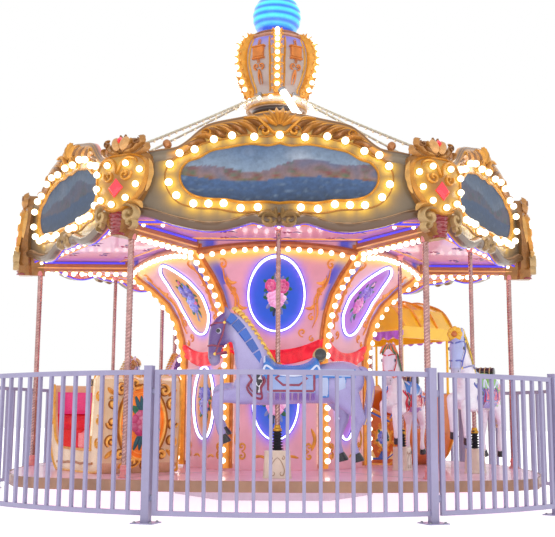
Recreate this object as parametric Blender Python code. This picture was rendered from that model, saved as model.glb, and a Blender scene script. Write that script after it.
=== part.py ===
# Fairground carousel: six-bay platform with horses and carriages, crown top and ring fence.
# Metres, +Z up, ground at z = 0, axis of rotation at x = y = 0, front bay towards -Y.
# Angles run from the front bay towards +X.
import bpy
import bmesh
from math import sin, cos, pi, radians, sqrt
from mathutils import Matrix, Vector

for old in list(bpy.data.objects):
    bpy.data.objects.remove(old, do_unlink=True)

GAP = 0.0003  # clearance between touching pieces

# Base and platform
PAD_RADIUS = 1.0  # circumradius of the fixed base frame
PAD_TOP = 0.13
BEARING_RADIUS = 0.55
DECK_TOP = 0.27
DECK_LOW = 0.15
RIM_LOW = 0.185
RIM_THICK = 0.022
DECK_MID = 2.50  # reach of the deck at the middle of each of its four long sides
DECK_CORNER = 1.92  # the corner cut runs between (this, deck corner long) and its mirror
DECK_CORNER_LONG = 2.15

# Frame of the top
VERTEX_RADIUS = 2.44  # corner posts stand here
HEAD = 2.25  # underside of the ceiling beams
BEAM_DEPTH = 0.10
BEAM_WIDTH = 0.09
PLATE_THICK = 0.02
POST_RADIUS = 0.028
FLANGE_RADIUS = 0.055
FLANGE_HEIGHT = 0.10

# Rounding boards and shields
BOARD_FACE = 2.234  # distance of the outer face from the axis
BOARD_THICK = 0.03
SHIELD_RADIUS = 2.66
SHIELD_LOW = 2.20

# Roof and crown
ROOF_LOW = 2.62
ROOF_TOP = 3.70
ROOF_TOP_RADIUS = 0.30
ROOF_THICK = 0.012
BALL_RADIUS = 0.265
BALL_CENTRE = 5.06

# Horses
POLE_RADIUS = 0.021
POLE_CLEAR = 0.0005
POLE_LOW = 0.30
POLE_TOP = 2.50
OUTER = 2.03
OUTER_SIDE = 2.10
INNER = 1.34
POT_TOP = 0.49
POT_LONG = 0.118
POT_WIDE = 0.075
HORSES = ((0, OUTER), (60, OUTER_SIDE), (66, INNER), (180, OUTER), (-120, OUTER_SIDE), (-114, INNER))

# Fence
FENCE_RADIUS = 3.10
RAIL_LOW = 0.055
RAIL_TOP = 1.085
RAIL = 0.036
BAR = 0.024
POST = 0.060
POST_TOP = 1.115
SHEET_HALF = 0.013  # half thickness of rails and bars
PANEL_START = 0.9  # degrees from a post's centre to the next panel's first upright
GATE_START = 21.05
GATE_SPAN = 24.8
GATE_LEAF_START = 1.15
FRONT_SPAN = 38.8
KNUCKLE = 0.008  # radius of the gate's hinge knuckles
HINGE_REACH = POST / 2 + 0.0195  # hinge axis from the post's centre: the open leaf clears the post
HINGE_PLATE = 0.006
LUG_HALF = 0.016
KNUCKLE_HALF = 0.02
LUG_HEIGHTS = (0.175, 0.93)
FOOT_HALF = 0.085
FOOT_THICK = 0.008


def material(name, colour, metallic=0.0, roughness=0.5):
    mat = bpy.data.materials.new(name)
    mat.use_nodes = True
    shader = mat.node_tree.nodes["Principled BSDF"]
    shader.inputs["Base Color"].default_value = (*colour, 1)
    shader.inputs["Metallic"].default_value = metallic
    shader.inputs["Roughness"].default_value = roughness
    return mat


def place(name, mesh, colour, smooth=False, metallic=0.0, roughness=0.5):
    obj = bpy.data.objects.new(name, mesh)
    bpy.context.scene.collection.objects.link(obj)
    obj.data.materials.clear()
    obj.data.materials.append(material(name + "_finish", colour, metallic, roughness))
    for face in obj.data.polygons:
        face.use_smooth = smooth
    return obj


def mesh_of(points, faces, name="shape"):
    mesh = bpy.data.meshes.new(name)
    mesh.from_pydata([tuple(p) for p in points], [], faces)
    body = bmesh.new()
    body.from_mesh(mesh)
    bmesh.ops.recalc_face_normals(body, faces=body.faces)
    if body.calc_volume(signed=True) < 0:
        bmesh.ops.reverse_faces(body, faces=body.faces)
    body.to_mesh(mesh)
    body.free()
    return mesh


def rings_mesh(rings):
    """Closed body through rings of equal point count, with flat ends; a ring of one point closes to a tip."""
    points = []
    faces = []
    starts = []
    for ring in rings:
        starts.append(len(points))
        points.extend(ring)
    for k in range(len(rings) - 1):
        a, b = rings[k], rings[k + 1]
        sa, sb = starts[k], starts[k + 1]
        n = max(len(a), len(b))
        for i in range(n):
            j = (i + 1) % n
            if len(a) == 1:
                faces.append((sa, sb + j, sb + i))
            elif len(b) == 1:
                faces.append((sa + i, sa + j, sb))
            else:
                faces.append((sa + i, sa + j, sb + j, sb + i))
    if len(rings[0]) > 1:
        faces.append(tuple(range(len(rings[0]) - 1, -1, -1)))
    if len(rings[-1]) > 1:
        faces.append(tuple(range(starts[-1], starts[-1] + len(rings[-1]))))
    return mesh_of(points, faces)


def turned(profile, count, phase=0.0):
    """Body of revolution of (radius, z) pairs; a radius of 0 makes a tip."""
    rings = []
    for radius, z in profile:
        if radius == 0:
            rings.append([(0, 0, z)])
        else:
            rings.append([(radius * sin(phase + 2 * pi * i / count),
                           -radius * cos(phase + 2 * pi * i / count), z) for i in range(count)])
    return rings_mesh(rings)


def prism(outline, low, top):
    return rings_mesh([[(x, y, low) for x, y in outline], [(x, y, top) for x, y in outline]])


def slab(outline, near, far):
    """Outline in x and z, pushed through from y = near to y = far."""
    return rings_mesh([[(x, near, z) for x, z in outline], [(x, far, z) for x, z in outline]])


def box(x0, x1, y0, y1, z0, z1):
    return prism([(x0, y0), (x1, y0), (x1, y1), (x0, y1)], z0, z1)


def hexagon(circumradius):
    return [(circumradius * sin(radians(30 + 60 * i)), -circumradius * cos(radians(30 + 60 * i)))
            for i in range(6)]


def moved(mesh, matrix):
    mesh.transform(matrix)
    return mesh


def combined(first, others, operation):
    """First mesh with each of the others joined to it or cut from it."""
    for other in others:
        a = bpy.data.objects.new("a", first)
        b = bpy.data.objects.new("b", other)
        bpy.context.scene.collection.objects.link(a)
        bpy.context.scene.collection.objects.link(b)
        step = a.modifiers.new("step", "BOOLEAN")
        step.solver = "EXACT"
        step.operation = operation
        step.object = b
        bpy.context.view_layer.update()
        graph = bpy.context.evaluated_depsgraph_get()
        first = bpy.data.meshes.new_from_object(a.evaluated_get(graph))
        bpy.data.objects.remove(a, do_unlink=True)
        bpy.data.objects.remove(b, do_unlink=True)
    return first


def joined(first, *others):
    return combined(first, others, "UNION")


def cut(first, *others):
    return combined(first, others, "DIFFERENCE")


def around(angle):
    return Matrix.Rotation(radians(angle), 4, "Z")


def at(angle, radius, z=0.0):
    return Vector((radius * sin(radians(angle)), -radius * cos(radians(angle)), z))


def pole_hole(low, top, radius=POLE_RADIUS + POLE_CLEAR):
    return turned([(radius, low), (radius, top)], 12)


# Fixed base frame with the slewing ring that carries the platform
base = joined(prism(hexagon(PAD_RADIUS), 0.0, PAD_TOP),
              turned([(BEARING_RADIUS, PAD_TOP - 0.05), (BEARING_RADIUS, DECK_LOW - GAP)], 24))
place("base_frame", base, (0.13, 0.13, 0.15), metallic=0.6)

# Platform deck: four bowed sides with short cut corners
quarter = [(-DECK_CORNER, -DECK_CORNER_LONG), (-1.30, -2.37), (-0.65, -2.47), (0, -DECK_MID),
           (0.65, -2.47), (1.30, -2.37), (DECK_CORNER, -DECK_CORNER_LONG)]
deck_outline = []
for turn in range(4):
    for x, y in quarter:
        spot = around(90 * turn) @ Vector((x, y, 0))
        deck_outline.append((spot.x, spot.y))
inner_share = 1 - (RIM_THICK + GAP) / DECK_MID
deck = prism([(x * inner_share, y * inner_share) for x, y in deck_outline], DECK_LOW, DECK_TOP)


def pot_ring(share, z):
    """Rounded box section of a pedestal."""
    long, wide = POT_LONG * share, POT_WIDE * share
    c = 0.03
    return [(long, -wide + c, z), (long, wide - c, z), (long - c, wide, z), (-long + c, wide, z),
            (-long, wide - c, z), (-long, -wide + c, z), (-long + c, -wide, z), (long - c, -wide, z)]


for angle, radius in HORSES:
    spot = Matrix.Translation(at(angle, radius)) @ around(angle)
    pot = rings_mesh([pot_ring(1.0, DECK_TOP - 0.02), pot_ring(1.0, DECK_TOP + 0.01),
                      pot_ring(0.88, POT_TOP)])
    deck = joined(deck, moved(pot, spot))
for angle, radius in HORSES:
    spot = Matrix.Translation(at(angle, radius)) @ around(angle)
    deck = cut(deck, moved(pole_hole(DECK_LOW - 0.05, POT_TOP + 0.05), spot))
place("platform_deck", deck, (0.75, 0.55, 0.66))

rim = cut(prism(deck_outline, RIM_LOW, DECK_TOP),
          prism([(x * (inner_share + GAP / DECK_MID), y * (inner_share + GAP / DECK_MID))
                 for x, y in deck_outline], RIM_LOW - 0.1, DECK_TOP + 0.1))
place("platform_rim", rim, (0.35, 0.17, 0.12))

# Corner posts
post_profile = [(FLANGE_RADIUS, DECK_TOP + GAP), (FLANGE_RADIUS, DECK_TOP + 0.015),
                (0.040, DECK_TOP + 0.03), (0.040, DECK_TOP + FLANGE_HEIGHT - 0.01),
                (POST_RADIUS, DECK_TOP + FLANGE_HEIGHT), (POST_RADIUS, HEAD - GAP)]
for k in range(6):
    post = place(f"corner_post_{k + 1}", turned(post_profile, 14), (0.55, 0.36, 0.34), True, 0.8, 0.25)
    post.location = at(30 + 60 * k, VERTEX_RADIUS)

# Ceiling: plate with six radial beams, in one piece with its pole holes
plate_radius = (BOARD_FACE - BOARD_THICK - GAP) / cos(pi / 6)
cornice_radius = 1.50
ceiling = prism(hexagon(plate_radius), HEAD + BEAM_DEPTH, HEAD + BEAM_DEPTH + PLATE_THICK)
for k in range(6):
    beam = box(-BEAM_WIDTH / 2, BEAM_WIDTH / 2, -(plate_radius - 0.03), -(cornice_radius + 0.004),
               HEAD, HEAD + BEAM_DEPTH + PLATE_THICK / 2)
    ceiling = joined(ceiling, moved(beam, around(30 + 60 * k)))
for angle, radius in HORSES:
    spot = Matrix.Translation(at(angle, radius)) @ around(angle)
    ceiling = cut(ceiling, moved(pole_hole(HEAD, HEAD + 0.3), spot))
place("ceiling", ceiling, (0.72, 0.45, 0.62))

# Centre column and the trumpet-shaped cornice above it
column = prism(hexagon(0.92), DECK_TOP + GAP, 1.42)
place("centre_column", column, (0.8, 0.45, 0.5))
cornice_rings = []
cornice_low = 1.42 + GAP
for radius, z in ((0.94, cornice_low), (0.955, 1.56), (1.01, 1.74), (1.12, 1.92), (1.28, 2.07),
                  (1.42, 2.17), (cornice_radius, HEAD), (cornice_radius, HEAD + BEAM_DEPTH - GAP)):
    cornice_rings.append([(x, y, z) for x, y in hexagon(radius)])
place("centre_cornice", rings_mesh(cornice_rings), (0.8, 0.42, 0.5))

# Rounding boards: arched top, lowered middle
board_half = [(0, 3.323), (0.07, 3.31), (0.13, 3.262), (0.338, 3.219), (0.57, 3.167), (0.669, 3.106),
              (0.751, 3.029), (0.833, 2.969), (0.88, 2.955), (0.90, 3.02), (0.934, 3.042),
              (0.968, 3.02), (0.985, 2.945), (1.098, 2.918)]
board_corner = (BOARD_FACE - BOARD_THICK) * sin(pi / 6) / cos(pi / 6) - 0.001
low_half = [(1.098, 2.368), (0.86, 2.30), (0.658, 2.259), (0.454, 2.259), (0.25, 2.322), (0.18, 2.334),
            (0.15, 2.30), (0.0, 2.290)]
half = board_half + [(board_corner, 2.91), (board_corner, 2.372)] + low_half
outline = half + [(-x, z) for x, z in reversed(half) if x > 0]
for k in range(6):
    board = slab(outline, -BOARD_FACE, -BOARD_FACE + BOARD_THICK)
    board = place(f"rounding_board_{k + 1}", board, (0.42, 0.34, 0.26))
    board.rotation_euler.z = radians(60 * k)

# Shields over the vertices, with backs that seat on the two boards
shield_half = [(0, 3.12), (0.045, 3.115), (0.085, 3.08), (0.12, 3.03), (0.16, 2.985), (0.20, 2.93),
               (0.262, 2.88), (0.266, 2.70), (0.24, 2.56), (0.19, 2.47), (0.225, 2.40), (0.205, 2.29),
               (0.14, 2.262), (0.085, 2.275), (0.075, 2.21), (0, SHIELD_LOW)]
shield_outline = shield_half + [(-x, z) for x, z in reversed(shield_half) if x > 0]
seat = hexagon((BOARD_FACE + GAP) / cos(pi / 6))
seat_body = moved(prism(seat, 2.0, 3.4), around(30))
shield_mesh = cut(slab(shield_outline, -SHIELD_RADIUS, -2.36), seat_body)
for k in range(6):
    shield = place(f"shield_{k + 1}", shield_mesh.copy(), (0.8, 0.5, 0.08), False, 0.6, 0.3)
    shield.rotation_euler.z = radians(30 + 60 * k)

MAST_RADIUS = 0.10
MAST_HOLE = (MAST_RADIUS + GAP) / cos(pi / 6)

# Roof shell, seated on the ceiling plate's rim behind the boards
roof_edge = (BOARD_FACE - BOARD_THICK - GAP) / cos(pi / 6)
roof = rings_mesh([[(x, y, HEAD + BEAM_DEPTH + PLATE_THICK + GAP) for x, y in hexagon(roof_edge)],
                   [(x, y, ROOF_LOW) for x, y in hexagon(roof_edge)],
                   [(x, y, ROOF_TOP) for x, y in hexagon(ROOF_TOP_RADIUS)]])
hollow = rings_mesh([[(x, y, HEAD) for x, y in hexagon(roof_edge - ROOF_THICK * 2)],
                     [(x, y, ROOF_LOW - ROOF_THICK / 2) for x, y in hexagon(roof_edge - ROOF_THICK * 2)],
                     [(x, y, ROOF_TOP - ROOF_THICK * 1.5) for x, y in hexagon(ROOF_TOP_RADIUS)],
                     [(x, y, ROOF_TOP - ROOF_THICK * 1.5 + 0.001) for x, y in hexagon(MAST_HOLE)],
                     [(x, y, ROOF_TOP + 0.1) for x, y in hexagon(MAST_HOLE)]])
place("roof", cut(roof, hollow), (0.55, 0.42, 0.45))

# Mast from the ceiling to the crown, through the roof's neck
place("centre_mast", turned([(0.16, HEAD + BEAM_DEPTH + PLATE_THICK + GAP),
                             (0.16, HEAD + BEAM_DEPTH + PLATE_THICK + 0.02),
                             (MAST_RADIUS, HEAD + BEAM_DEPTH + PLATE_THICK + 0.03),
                             (MAST_RADIUS, ROOF_TOP - GAP)], 16), (0.25, 0.25, 0.28), True, 0.7, 0.4)

# Crown
crown_profile = [(0.30, ROOF_TOP + GAP), (0.30, 3.88), (0.255, 3.93), (0.255, 3.99), (0.335, 4.02),
                 (0.345, 4.05), (0.315, 4.08), (0.295, 4.16), (0.335, 4.25), (0.375, 4.38),
                 (0.388, 4.50), (0.375, 4.62), (0.335, 4.72), (0.27, 4.78), (0.27, 4.81),
                 (0.20, 4.81 + 0.015)]
crown = turned(crown_profile, 18)
for k in range(6):
    rib = slab([(-0.285, 4.10), (-0.33, 4.10), (-0.385, 4.25), (-0.425, 4.38), (-0.44, 4.50),
                (-0.425, 4.62), (-0.385, 4.73), (-0.31, 4.80), (-0.25, 4.79)], -0.032, 0.032)
    crown = joined(crown, moved(rib, around(90 + 60 * k)))
place("crown", crown, (0.78, 0.55, 0.2), False, 0.7, 0.3)

ball_profile = [(0.13, 4.825 + GAP), (0.175, 4.845)]
for step in range(1, 7):
    lean = radians(-47 + step * 137 / 7)
    ball_profile.append((BALL_RADIUS * cos(lean), BALL_CENTRE + BALL_RADIUS * sin(lean)))
ball_profile.append((0, BALL_CENTRE + BALL_RADIUS))
place("crown_ball", turned(ball_profile, 18), (0.1, 0.4, 0.9), True)


# Horses
def limb(spine, count=8):
    """Tube through (x, z, half length, half width, y) stations, each ring square to the spine in x and z."""
    rings = []
    for k, (x, z, long, wide, y) in enumerate(spine):
        before = spine[max(k - 1, 0)]
        after = spine[min(k + 1, len(spine) - 1)]
        dx, dz = after[0] - before[0], after[1] - before[1]
        size = sqrt(dx * dx + dz * dz)
        nx, nz = -dz / size, dx / size
        ring = []
        for i in range(count):
            turn = 2 * pi * i / count
            ring.append((x + nx * long * cos(turn), y + wide * sin(turn), z + nz * long * cos(turn)))
        rings.append(ring)
    return rings_mesh(rings)


def horse_mesh():
    barrel = limb([(-0.31, 1.00, 0.10, 0.07, 0), (-0.26, 1.01, 0.155, 0.115, 0),
                   (-0.10, 1.01, 0.165, 0.135, 0), (0.12, 0.995, 0.155, 0.14, 0),
                   (0.34, 1.005, 0.165, 0.135, 0), (0.52, 1.04, 0.16, 0.125, 0),
                   (0.64, 1.06, 0.12, 0.09, 0), (0.70, 1.06, 0.06, 0.045, 0)], 8)
    neck = limb([(-0.16, 1.02, 0.16, 0.085, 0), (-0.24, 1.18, 0.14, 0.075, 0),
                 (-0.31, 1.34, 0.11, 0.06, 0), (-0.37, 1.50, 0.085, 0.05, 0)], 6)
    head = limb([(-0.34, 1.55, 0.06, 0.045, 0), (-0.42, 1.50, 0.088, 0.06, 0),
                 (-0.49, 1.40, 0.07, 0.052, 0), (-0.535, 1.30, 0.05, 0.042, 0),
                 (-0.55, 1.25, 0.038, 0.036, 0)], 6)
    crest = slab([(-0.42, 1.60), (-0.36, 1.645), (-0.28, 1.58), (-0.20, 1.44), (-0.12, 1.29),
                  (-0.06, 1.17), (-0.16, 1.15), (-0.26, 1.35), (-0.34, 1.52)], -0.02, 0.02)
    saddle = slab([(-0.115, 1.10), (-0.11, 1.245), (-0.07, 1.255), (0.0, 1.185), (0.12, 1.165),
                   (0.24, 1.185), (0.33, 1.27), (0.38, 1.26), (0.40, 1.10)], -0.075, 0.075)
    legs = []
    for side, lift in ((-1, 0.0), (1, 0.06)):
        y = 0.065 * side
        legs.append(limb([(-0.20, 0.95, 0.08, 0.045, y), (-0.38, 0.90 + lift, 0.062, 0.042, y),
                          (-0.49, 0.89 + lift, 0.05, 0.038, y)], 5))
        legs.append(limb([(-0.47, 0.93 + lift, 0.045, 0.034, y), (-0.48, 0.78 + lift, 0.034, 0.028, y),
                          (-0.44, 0.66 + lift, 0.03, 0.027, y), (-0.41, 0.57 + lift, 0.042, 0.036, y)], 5))
    for side, back in ((-1, 0.0), (1, -0.10)):
        y = 0.07 * side
        legs.append(limb([(0.50 + back / 2, 0.98, 0.12, 0.05, y), (0.60 + back / 2, 0.84, 0.075, 0.045, y),
                          (0.655 + back, 0.74, 0.05, 0.036, y)], 5))
        legs.append(limb([(0.665 + back, 0.79, 0.042, 0.034, y), (0.625 + back, 0.66, 0.034, 0.028, y),
                          (0.60 + back, 0.54, 0.028, 0.026, y), (0.64 + back, 0.43, 0.042, 0.034, y)], 5))
    tail = limb([(0.66, 1.10, 0.03, 0.03, 0), (0.73, 1.05, 0.05, 0.035, 0), (0.755, 0.90, 0.05, 0.03, 0),
                 (0.735, 0.74, 0.02, 0.015, 0)], 5)
    whole = joined(barrel, neck, head, crest, saddle, tail, *legs)
    return cut(whole, turned([(POLE_RADIUS + GAP, 0.5), (POLE_RADIUS + GAP, 1.7)], 12))


horse_shape = horse_mesh()
pole_shape = turned([(POLE_RADIUS, POLE_LOW), (POLE_RADIUS, POLE_TOP)], 12)
horse_colours = ((0.42, 0.4, 0.6), (0.75, 0.7, 0.8), (0.8, 0.75, 0.8), (0.7, 0.7, 0.75), (0.75, 0.72, 0.8),
                 (0.78, 0.74, 0.8))
for k, (angle, radius) in enumerate(HORSES):
    for name, shape, colour in ((f"horse_{k + 1}", horse_shape, horse_colours[k]),
                                (f"horse_pole_{k + 1}", pole_shape, (0.6, 0.45, 0.35))):
        piece = place(name, shape.copy(), colour, True)
        piece.location = at(angle, radius)
        piece.rotation_euler.z = radians(angle)

# Rose carriage: low sides, open door cut, bench across
CAR_WIDTH = 0.37
CAR_SHARE = 0.86  # carriage length against the side outlines below
side_outline = [(-0.66, 0.30), (0.52, 0.30), (0.66, 0.42), (0.70, 0.75), (0.66, 1.02), (0.56, 1.09),
                (0.10, 1.09), (0.04, 1.0), (-0.02, 0.52), (-0.10, 0.47), (-0.34, 0.47), (-0.44, 0.55),
                (-0.52, 1.0), (-0.56, 1.08), (-0.66, 1.08), (-0.72, 0.95), (-0.74, 0.55)]
well = slab([(0.02, 0.62), (0.44, 0.62), (0.52, 1.2), (-0.62, 1.2), (-0.62, 0.37), (0.02, 0.37)],
            -CAR_WIDTH + 0.035, CAR_WIDTH - 0.035)
rose = cut(slab([(x, z - 0.03 + GAP) for x, z in side_outline], -CAR_WIDTH, CAR_WIDTH), well)
rose.transform(Matrix.Scale(CAR_SHARE, 4, (1, 0, 0)))
rose_chariot = place("rose_chariot", rose, (0.8, 0.68, 0.5))
rose_chariot.location = at(-57, 1.78)
rose_chariot.rotation_euler.z = radians(-57)

# Canopy carriage: rounded tub with a bench, and a canopy on four rods
tub_outline = [(-0.40, 0.27 + GAP), (0.44, 0.27 + GAP), (0.62, 0.36), (0.72, 0.55), (0.76, 0.80),
               (0.735, 1.15), (0.665, 1.15), (0.60, 1.10), (-0.30, 0.80), (-0.46, 0.78), (-0.585, 1.03),
               (-0.655, 1.03), (-0.72, 0.90), (-0.70, 0.62), (-0.58, 0.38)]
tub_well = slab([(0.10, 0.62), (0.58, 0.62), (0.60, 1.3), (-0.56, 1.3), (-0.50, 0.37), (0.10, 0.37)],
                -CAR_WIDTH + 0.035, CAR_WIDTH - 0.035)
tub = cut(slab(tub_outline, -CAR_WIDTH, CAR_WIDTH), tub_well)
tub.transform(Matrix.Scale(CAR_SHARE, 4, (1, 0, 0)))
canopy_chariot = place("canopy_chariot", tub, (0.85, 0.42, 0.12))
canopy_chariot.location = at(127, 1.66)
canopy_chariot.rotation_euler.z = radians(127)

canopy = slab([(-0.66, 1.62), (0.66, 1.62), (0.70, 1.74), (0.52, 1.95), (0.2, 2.06), (0, 2.09),
               (-0.2, 2.06), (-0.52, 1.95), (-0.70, 1.74)], -0.39, 0.39)
canopy = cut(canopy, slab([(-0.63, 1.5), (0.63, 1.5), (0.66, 1.74), (0.50, 1.91), (0.2, 2.02),
                           (-0.2, 2.02), (-0.50, 1.91), (-0.66, 1.74)], -0.36, 0.36))
canopy.transform(Matrix.Scale(CAR_SHARE, 4, (1, 0, 0)))
for x, foot in ((0.70 * CAR_SHARE, 1.15), (-0.62 * CAR_SHARE, 1.03)):
    for y in (-0.352, 0.352):
        rod = turned([(0.014, foot + GAP), (0.014, 1.70)], 8)
        canopy = joined(canopy, moved(rod, Matrix.Translation((x, y, 0))),
                        box(x - 0.04, x + 0.04, y - 0.016, y + 0.016, 1.62, 1.66))
canopy_piece = place("chariot_canopy", canopy, (0.85, 0.6, 0.15))
canopy_piece.location = at(127, 1.66)
canopy_piece.rotation_euler.z = radians(127)


# Fence
def fence_mesh(span, bars, post_right=True, post_left=False, knuckles=False, hinge=False):
    """Panel round the arc from angle 0 to span, frame and bars in one sheet of square steel.

    knuckles makes it the gate leaf, and hinge gives its right post the plates that hold the leaf's knuckles.
    """
    start = GATE_LEAF_START if knuckles else PANEL_START
    end = span - (0.0 if post_right else PANEL_START)
    cells = [start]
    upright = RAIL / FENCE_RADIUS * 180 / pi
    bar = BAR / FENCE_RADIUS * 180 / pi
    cells.append(start + upright)
    pitch = (end - start - 2 * upright + bar) / (bars + 1)
    for k in range(bars):
        cells.append(start + upright + pitch * (k + 1) - bar)
        cells.append(start + upright + pitch * (k + 1))
    cells.extend((end - upright, end))
    levels = (RAIL_LOW, RAIL_LOW + RAIL, RAIL_TOP - RAIL, RAIL_TOP)
    points = []
    for face in (FENCE_RADIUS + SHEET_HALF, FENCE_RADIUS - SHEET_HALF):
        for angle in cells:
            for z in levels:
                points.append(at(angle, face, z))
    n = len(cells)

    def index(layer, column, row):
        return layer * n * 4 + column * 4 + row

    def solid(column, row):
        inside = 0 <= column < n - 1 and 0 <= row < 3
        return inside and (row != 1 or column % 2 == 0)

    faces = []
    for column in range(n - 1):
        for row in range(3):
            if not solid(column, row):
                continue
            corners = ((column, row), (column + 1, row), (column + 1, row + 1), (column, row + 1))
            faces.append([index(0, *c) for c in corners])
            faces.append([index(1, *c) for c in reversed(corners)])
            for k, (dc, dr) in enumerate(((0, -1), (1, 0), (0, 1), (-1, 0))):
                if not solid(column + dc, row + dr):
                    a, b = corners[k], corners[(k + 1) % 4]
                    faces.append([index(0, *b), index(0, *a), index(1, *a), index(1, *b)])
    sheet = mesh_of(points, faces)

    def standing(angle):
        foot = box(-FOOT_HALF, FOOT_HALF, -FOOT_HALF, FOOT_HALF, 0, FOOT_THICK)
        shaft = box(-POST / 2, POST / 2, -POST / 2, POST / 2, FOOT_THICK / 2, POST_TOP)
        plates = []
        if hinge:
            for z in LUG_HEIGHTS:
                for low in (z + KNUCKLE_HALF + GAP, z - KNUCKLE_HALF - GAP - HINGE_PLATE):
                    plates.append(box(POST / 4, HINGE_REACH + KNUCKLE, -KNUCKLE, KNUCKLE, low,
                                      low + HINGE_PLATE))
        spot = Matrix.Translation(at(angle, FENCE_RADIUS)) @ around(angle)
        return moved(joined(foot, shaft, *plates), spot)

    extras = []
    if post_right:
        extras.append(standing(span))
    if post_left:
        extras.append(standing(0))
    lug_end = FENCE_RADIUS * radians(start) + 0.01
    lug_start = POST / 2 + GAP
    if post_left:
        lug_start = POST / 4
    if knuckles:
        lug_start = HINGE_REACH
    for z in LUG_HEIGHTS:
        lug = box(lug_start, lug_end, -HINGE_PLATE, HINGE_PLATE, z - LUG_HALF, z + LUG_HALF)
        if knuckles:
            knuckle = turned([(KNUCKLE, z - KNUCKLE_HALF), (KNUCKLE, z + KNUCKLE_HALF)], 12, pi / 12)
            lug = joined(lug, moved(knuckle, Matrix.Translation((lug_start, 0, 0))))
        extras.append(moved(lug, Matrix.Translation(at(0, FENCE_RADIUS))))
    return joined(sheet, *extras)


lavender = (0.42, 0.42, 0.58)
rest_span = (360 - FRONT_SPAN - GATE_SPAN) / 7
order = [(GATE_START - FRONT_SPAN, FRONT_SPAN, 16, False)]
for k in range(7):
    order.append((GATE_START + GATE_SPAN + k * rest_span, rest_span, 17, k == 0))
for k, (angle, span, bars, post_left) in enumerate(order):
    panel_mesh = fence_mesh(span, bars, True, post_left, hinge=(k == 0))
    panel = place(f"fence_panel_{k + 1}", panel_mesh, lavender, False, 0.3)
    panel.rotation_euler.z = radians(angle)
gate_mesh = fence_mesh(GATE_SPAN, 9, False, knuckles=True)
hinge_spot = around(GATE_START) @ (at(0, FENCE_RADIUS) + Vector((HINGE_REACH, 0, 0)))
gate_mesh.transform(around(GATE_START))
gate_mesh.transform(Matrix.Translation(-hinge_spot))
gate = place("fence_gate", gate_mesh, lavender, False, 0.3)
gate.location = hinge_spot
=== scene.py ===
"""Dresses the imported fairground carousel: painted and gilded boards, lit bulbs, horses, carriages and fence."""

import bmesh
import bpy
from math import cos, degrees, exp, hypot, pi, radians, sin, sqrt
from mathutils import Matrix, Vector, noise


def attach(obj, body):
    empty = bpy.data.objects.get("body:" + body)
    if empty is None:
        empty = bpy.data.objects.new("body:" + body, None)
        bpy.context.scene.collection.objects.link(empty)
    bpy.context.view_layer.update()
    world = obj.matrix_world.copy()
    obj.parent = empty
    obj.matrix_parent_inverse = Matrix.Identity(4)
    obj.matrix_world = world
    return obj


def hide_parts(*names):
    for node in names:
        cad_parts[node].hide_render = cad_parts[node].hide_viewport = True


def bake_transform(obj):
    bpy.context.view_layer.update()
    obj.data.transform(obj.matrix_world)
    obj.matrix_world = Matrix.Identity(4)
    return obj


bl_info = {
    "name": "Fairground Carousel",
    "version": (1, 0, 0),
    "blender": (4, 5, 0),
    "location": "View3D > Sidebar > Carousel",
    "description": "Builds the visible pieces of a fairground carousel round its frame",
    "category": "Object",
}

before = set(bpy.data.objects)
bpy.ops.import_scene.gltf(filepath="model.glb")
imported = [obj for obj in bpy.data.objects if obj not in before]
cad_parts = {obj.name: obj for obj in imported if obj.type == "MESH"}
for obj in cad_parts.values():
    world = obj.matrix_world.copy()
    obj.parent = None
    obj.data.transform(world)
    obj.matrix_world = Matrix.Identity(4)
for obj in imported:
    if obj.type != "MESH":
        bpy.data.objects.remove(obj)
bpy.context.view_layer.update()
BAYS = 6
HORSES = ((0, 2.03), (60, 2.10), (66, 1.34), (180, 2.03), (-120, 2.10), (-114, 1.34))
HORSE_SHARES = (1.0, 0.92, 0.845, 1.0, 0.845, 0.845)


def linear(code):
    """sRGB hex to the linear colour that shaders take."""
    parts = [int(code[i:i + 2], 16) / 255 for i in (1, 3, 5)]
    return tuple(c / 12.92 if c <= 0.04045 else ((c + 0.055) / 1.055) ** 2.4 for c in parts)


def colour(name, code, words):
    return bpy.props.FloatVectorProperty(name=name, description=words, subtype="COLOR", size=3, min=0, max=1,
                                         default=linear(code))


def length(name, metres, words):
    return bpy.props.FloatProperty(name=name, description=words, default=metres, min=0.001, unit="LENGTH",
                                   subtype="DISTANCE")


class CarouselSizes(bpy.types.PropertyGroup):
    deck: length("Deck height", 0.27, "Top of the platform above the ground")
    head: length("Beam height", 2.25, "Underside of the ceiling beams")
    board: length("Board distance", 2.234, "Outer face of the rounding boards from the axis")
    post: length("Corner post distance", 2.44, "Corner posts from the axis")
    column: length("Column radius", 0.92, "Corners of the centre column from the axis")
    fence: length("Fence radius", 3.10, "Middle of the ring fence from the axis")
    bulb: length("Bulb radius", 0.030, "Glass of the board bulbs")
    small_bulb: length("Small bulb radius", 0.023, "Glass of the bulbs on beams and ridges")


class CarouselColours(bpy.types.PropertyGroup):
    gilt: colour("Gilt", "#D9962E", "Gold paint of the mouldings")
    pink: colour("Panel pink", "#E39CA6", "Ground of the centre panels")
    lavender: colour("Fence", "#9892B4", "Enamel of the fence")
    deck: colour("Deck", "#F3C3DE", "Deck paint")
    rim: colour("Rim", "#A87C62", "Edge strip of the platform")
    board: colour("Board ground", "#70604B", "Ground of the rounding boards")
    glow: colour("Bulb glow", "#FFD21F", "Warm light that the bulbs throw on the boards")
    red: colour("Red", "#E3123F", "Red paint and seats")
    blue: colour("Blue", "#1F7BD8", "Blue grounds")


def settings():
    return bpy.context.scene.carousel_sizes


def tint(name):
    return tuple(getattr(bpy.context.scene.carousel_colours, name))


# Shapes


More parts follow.
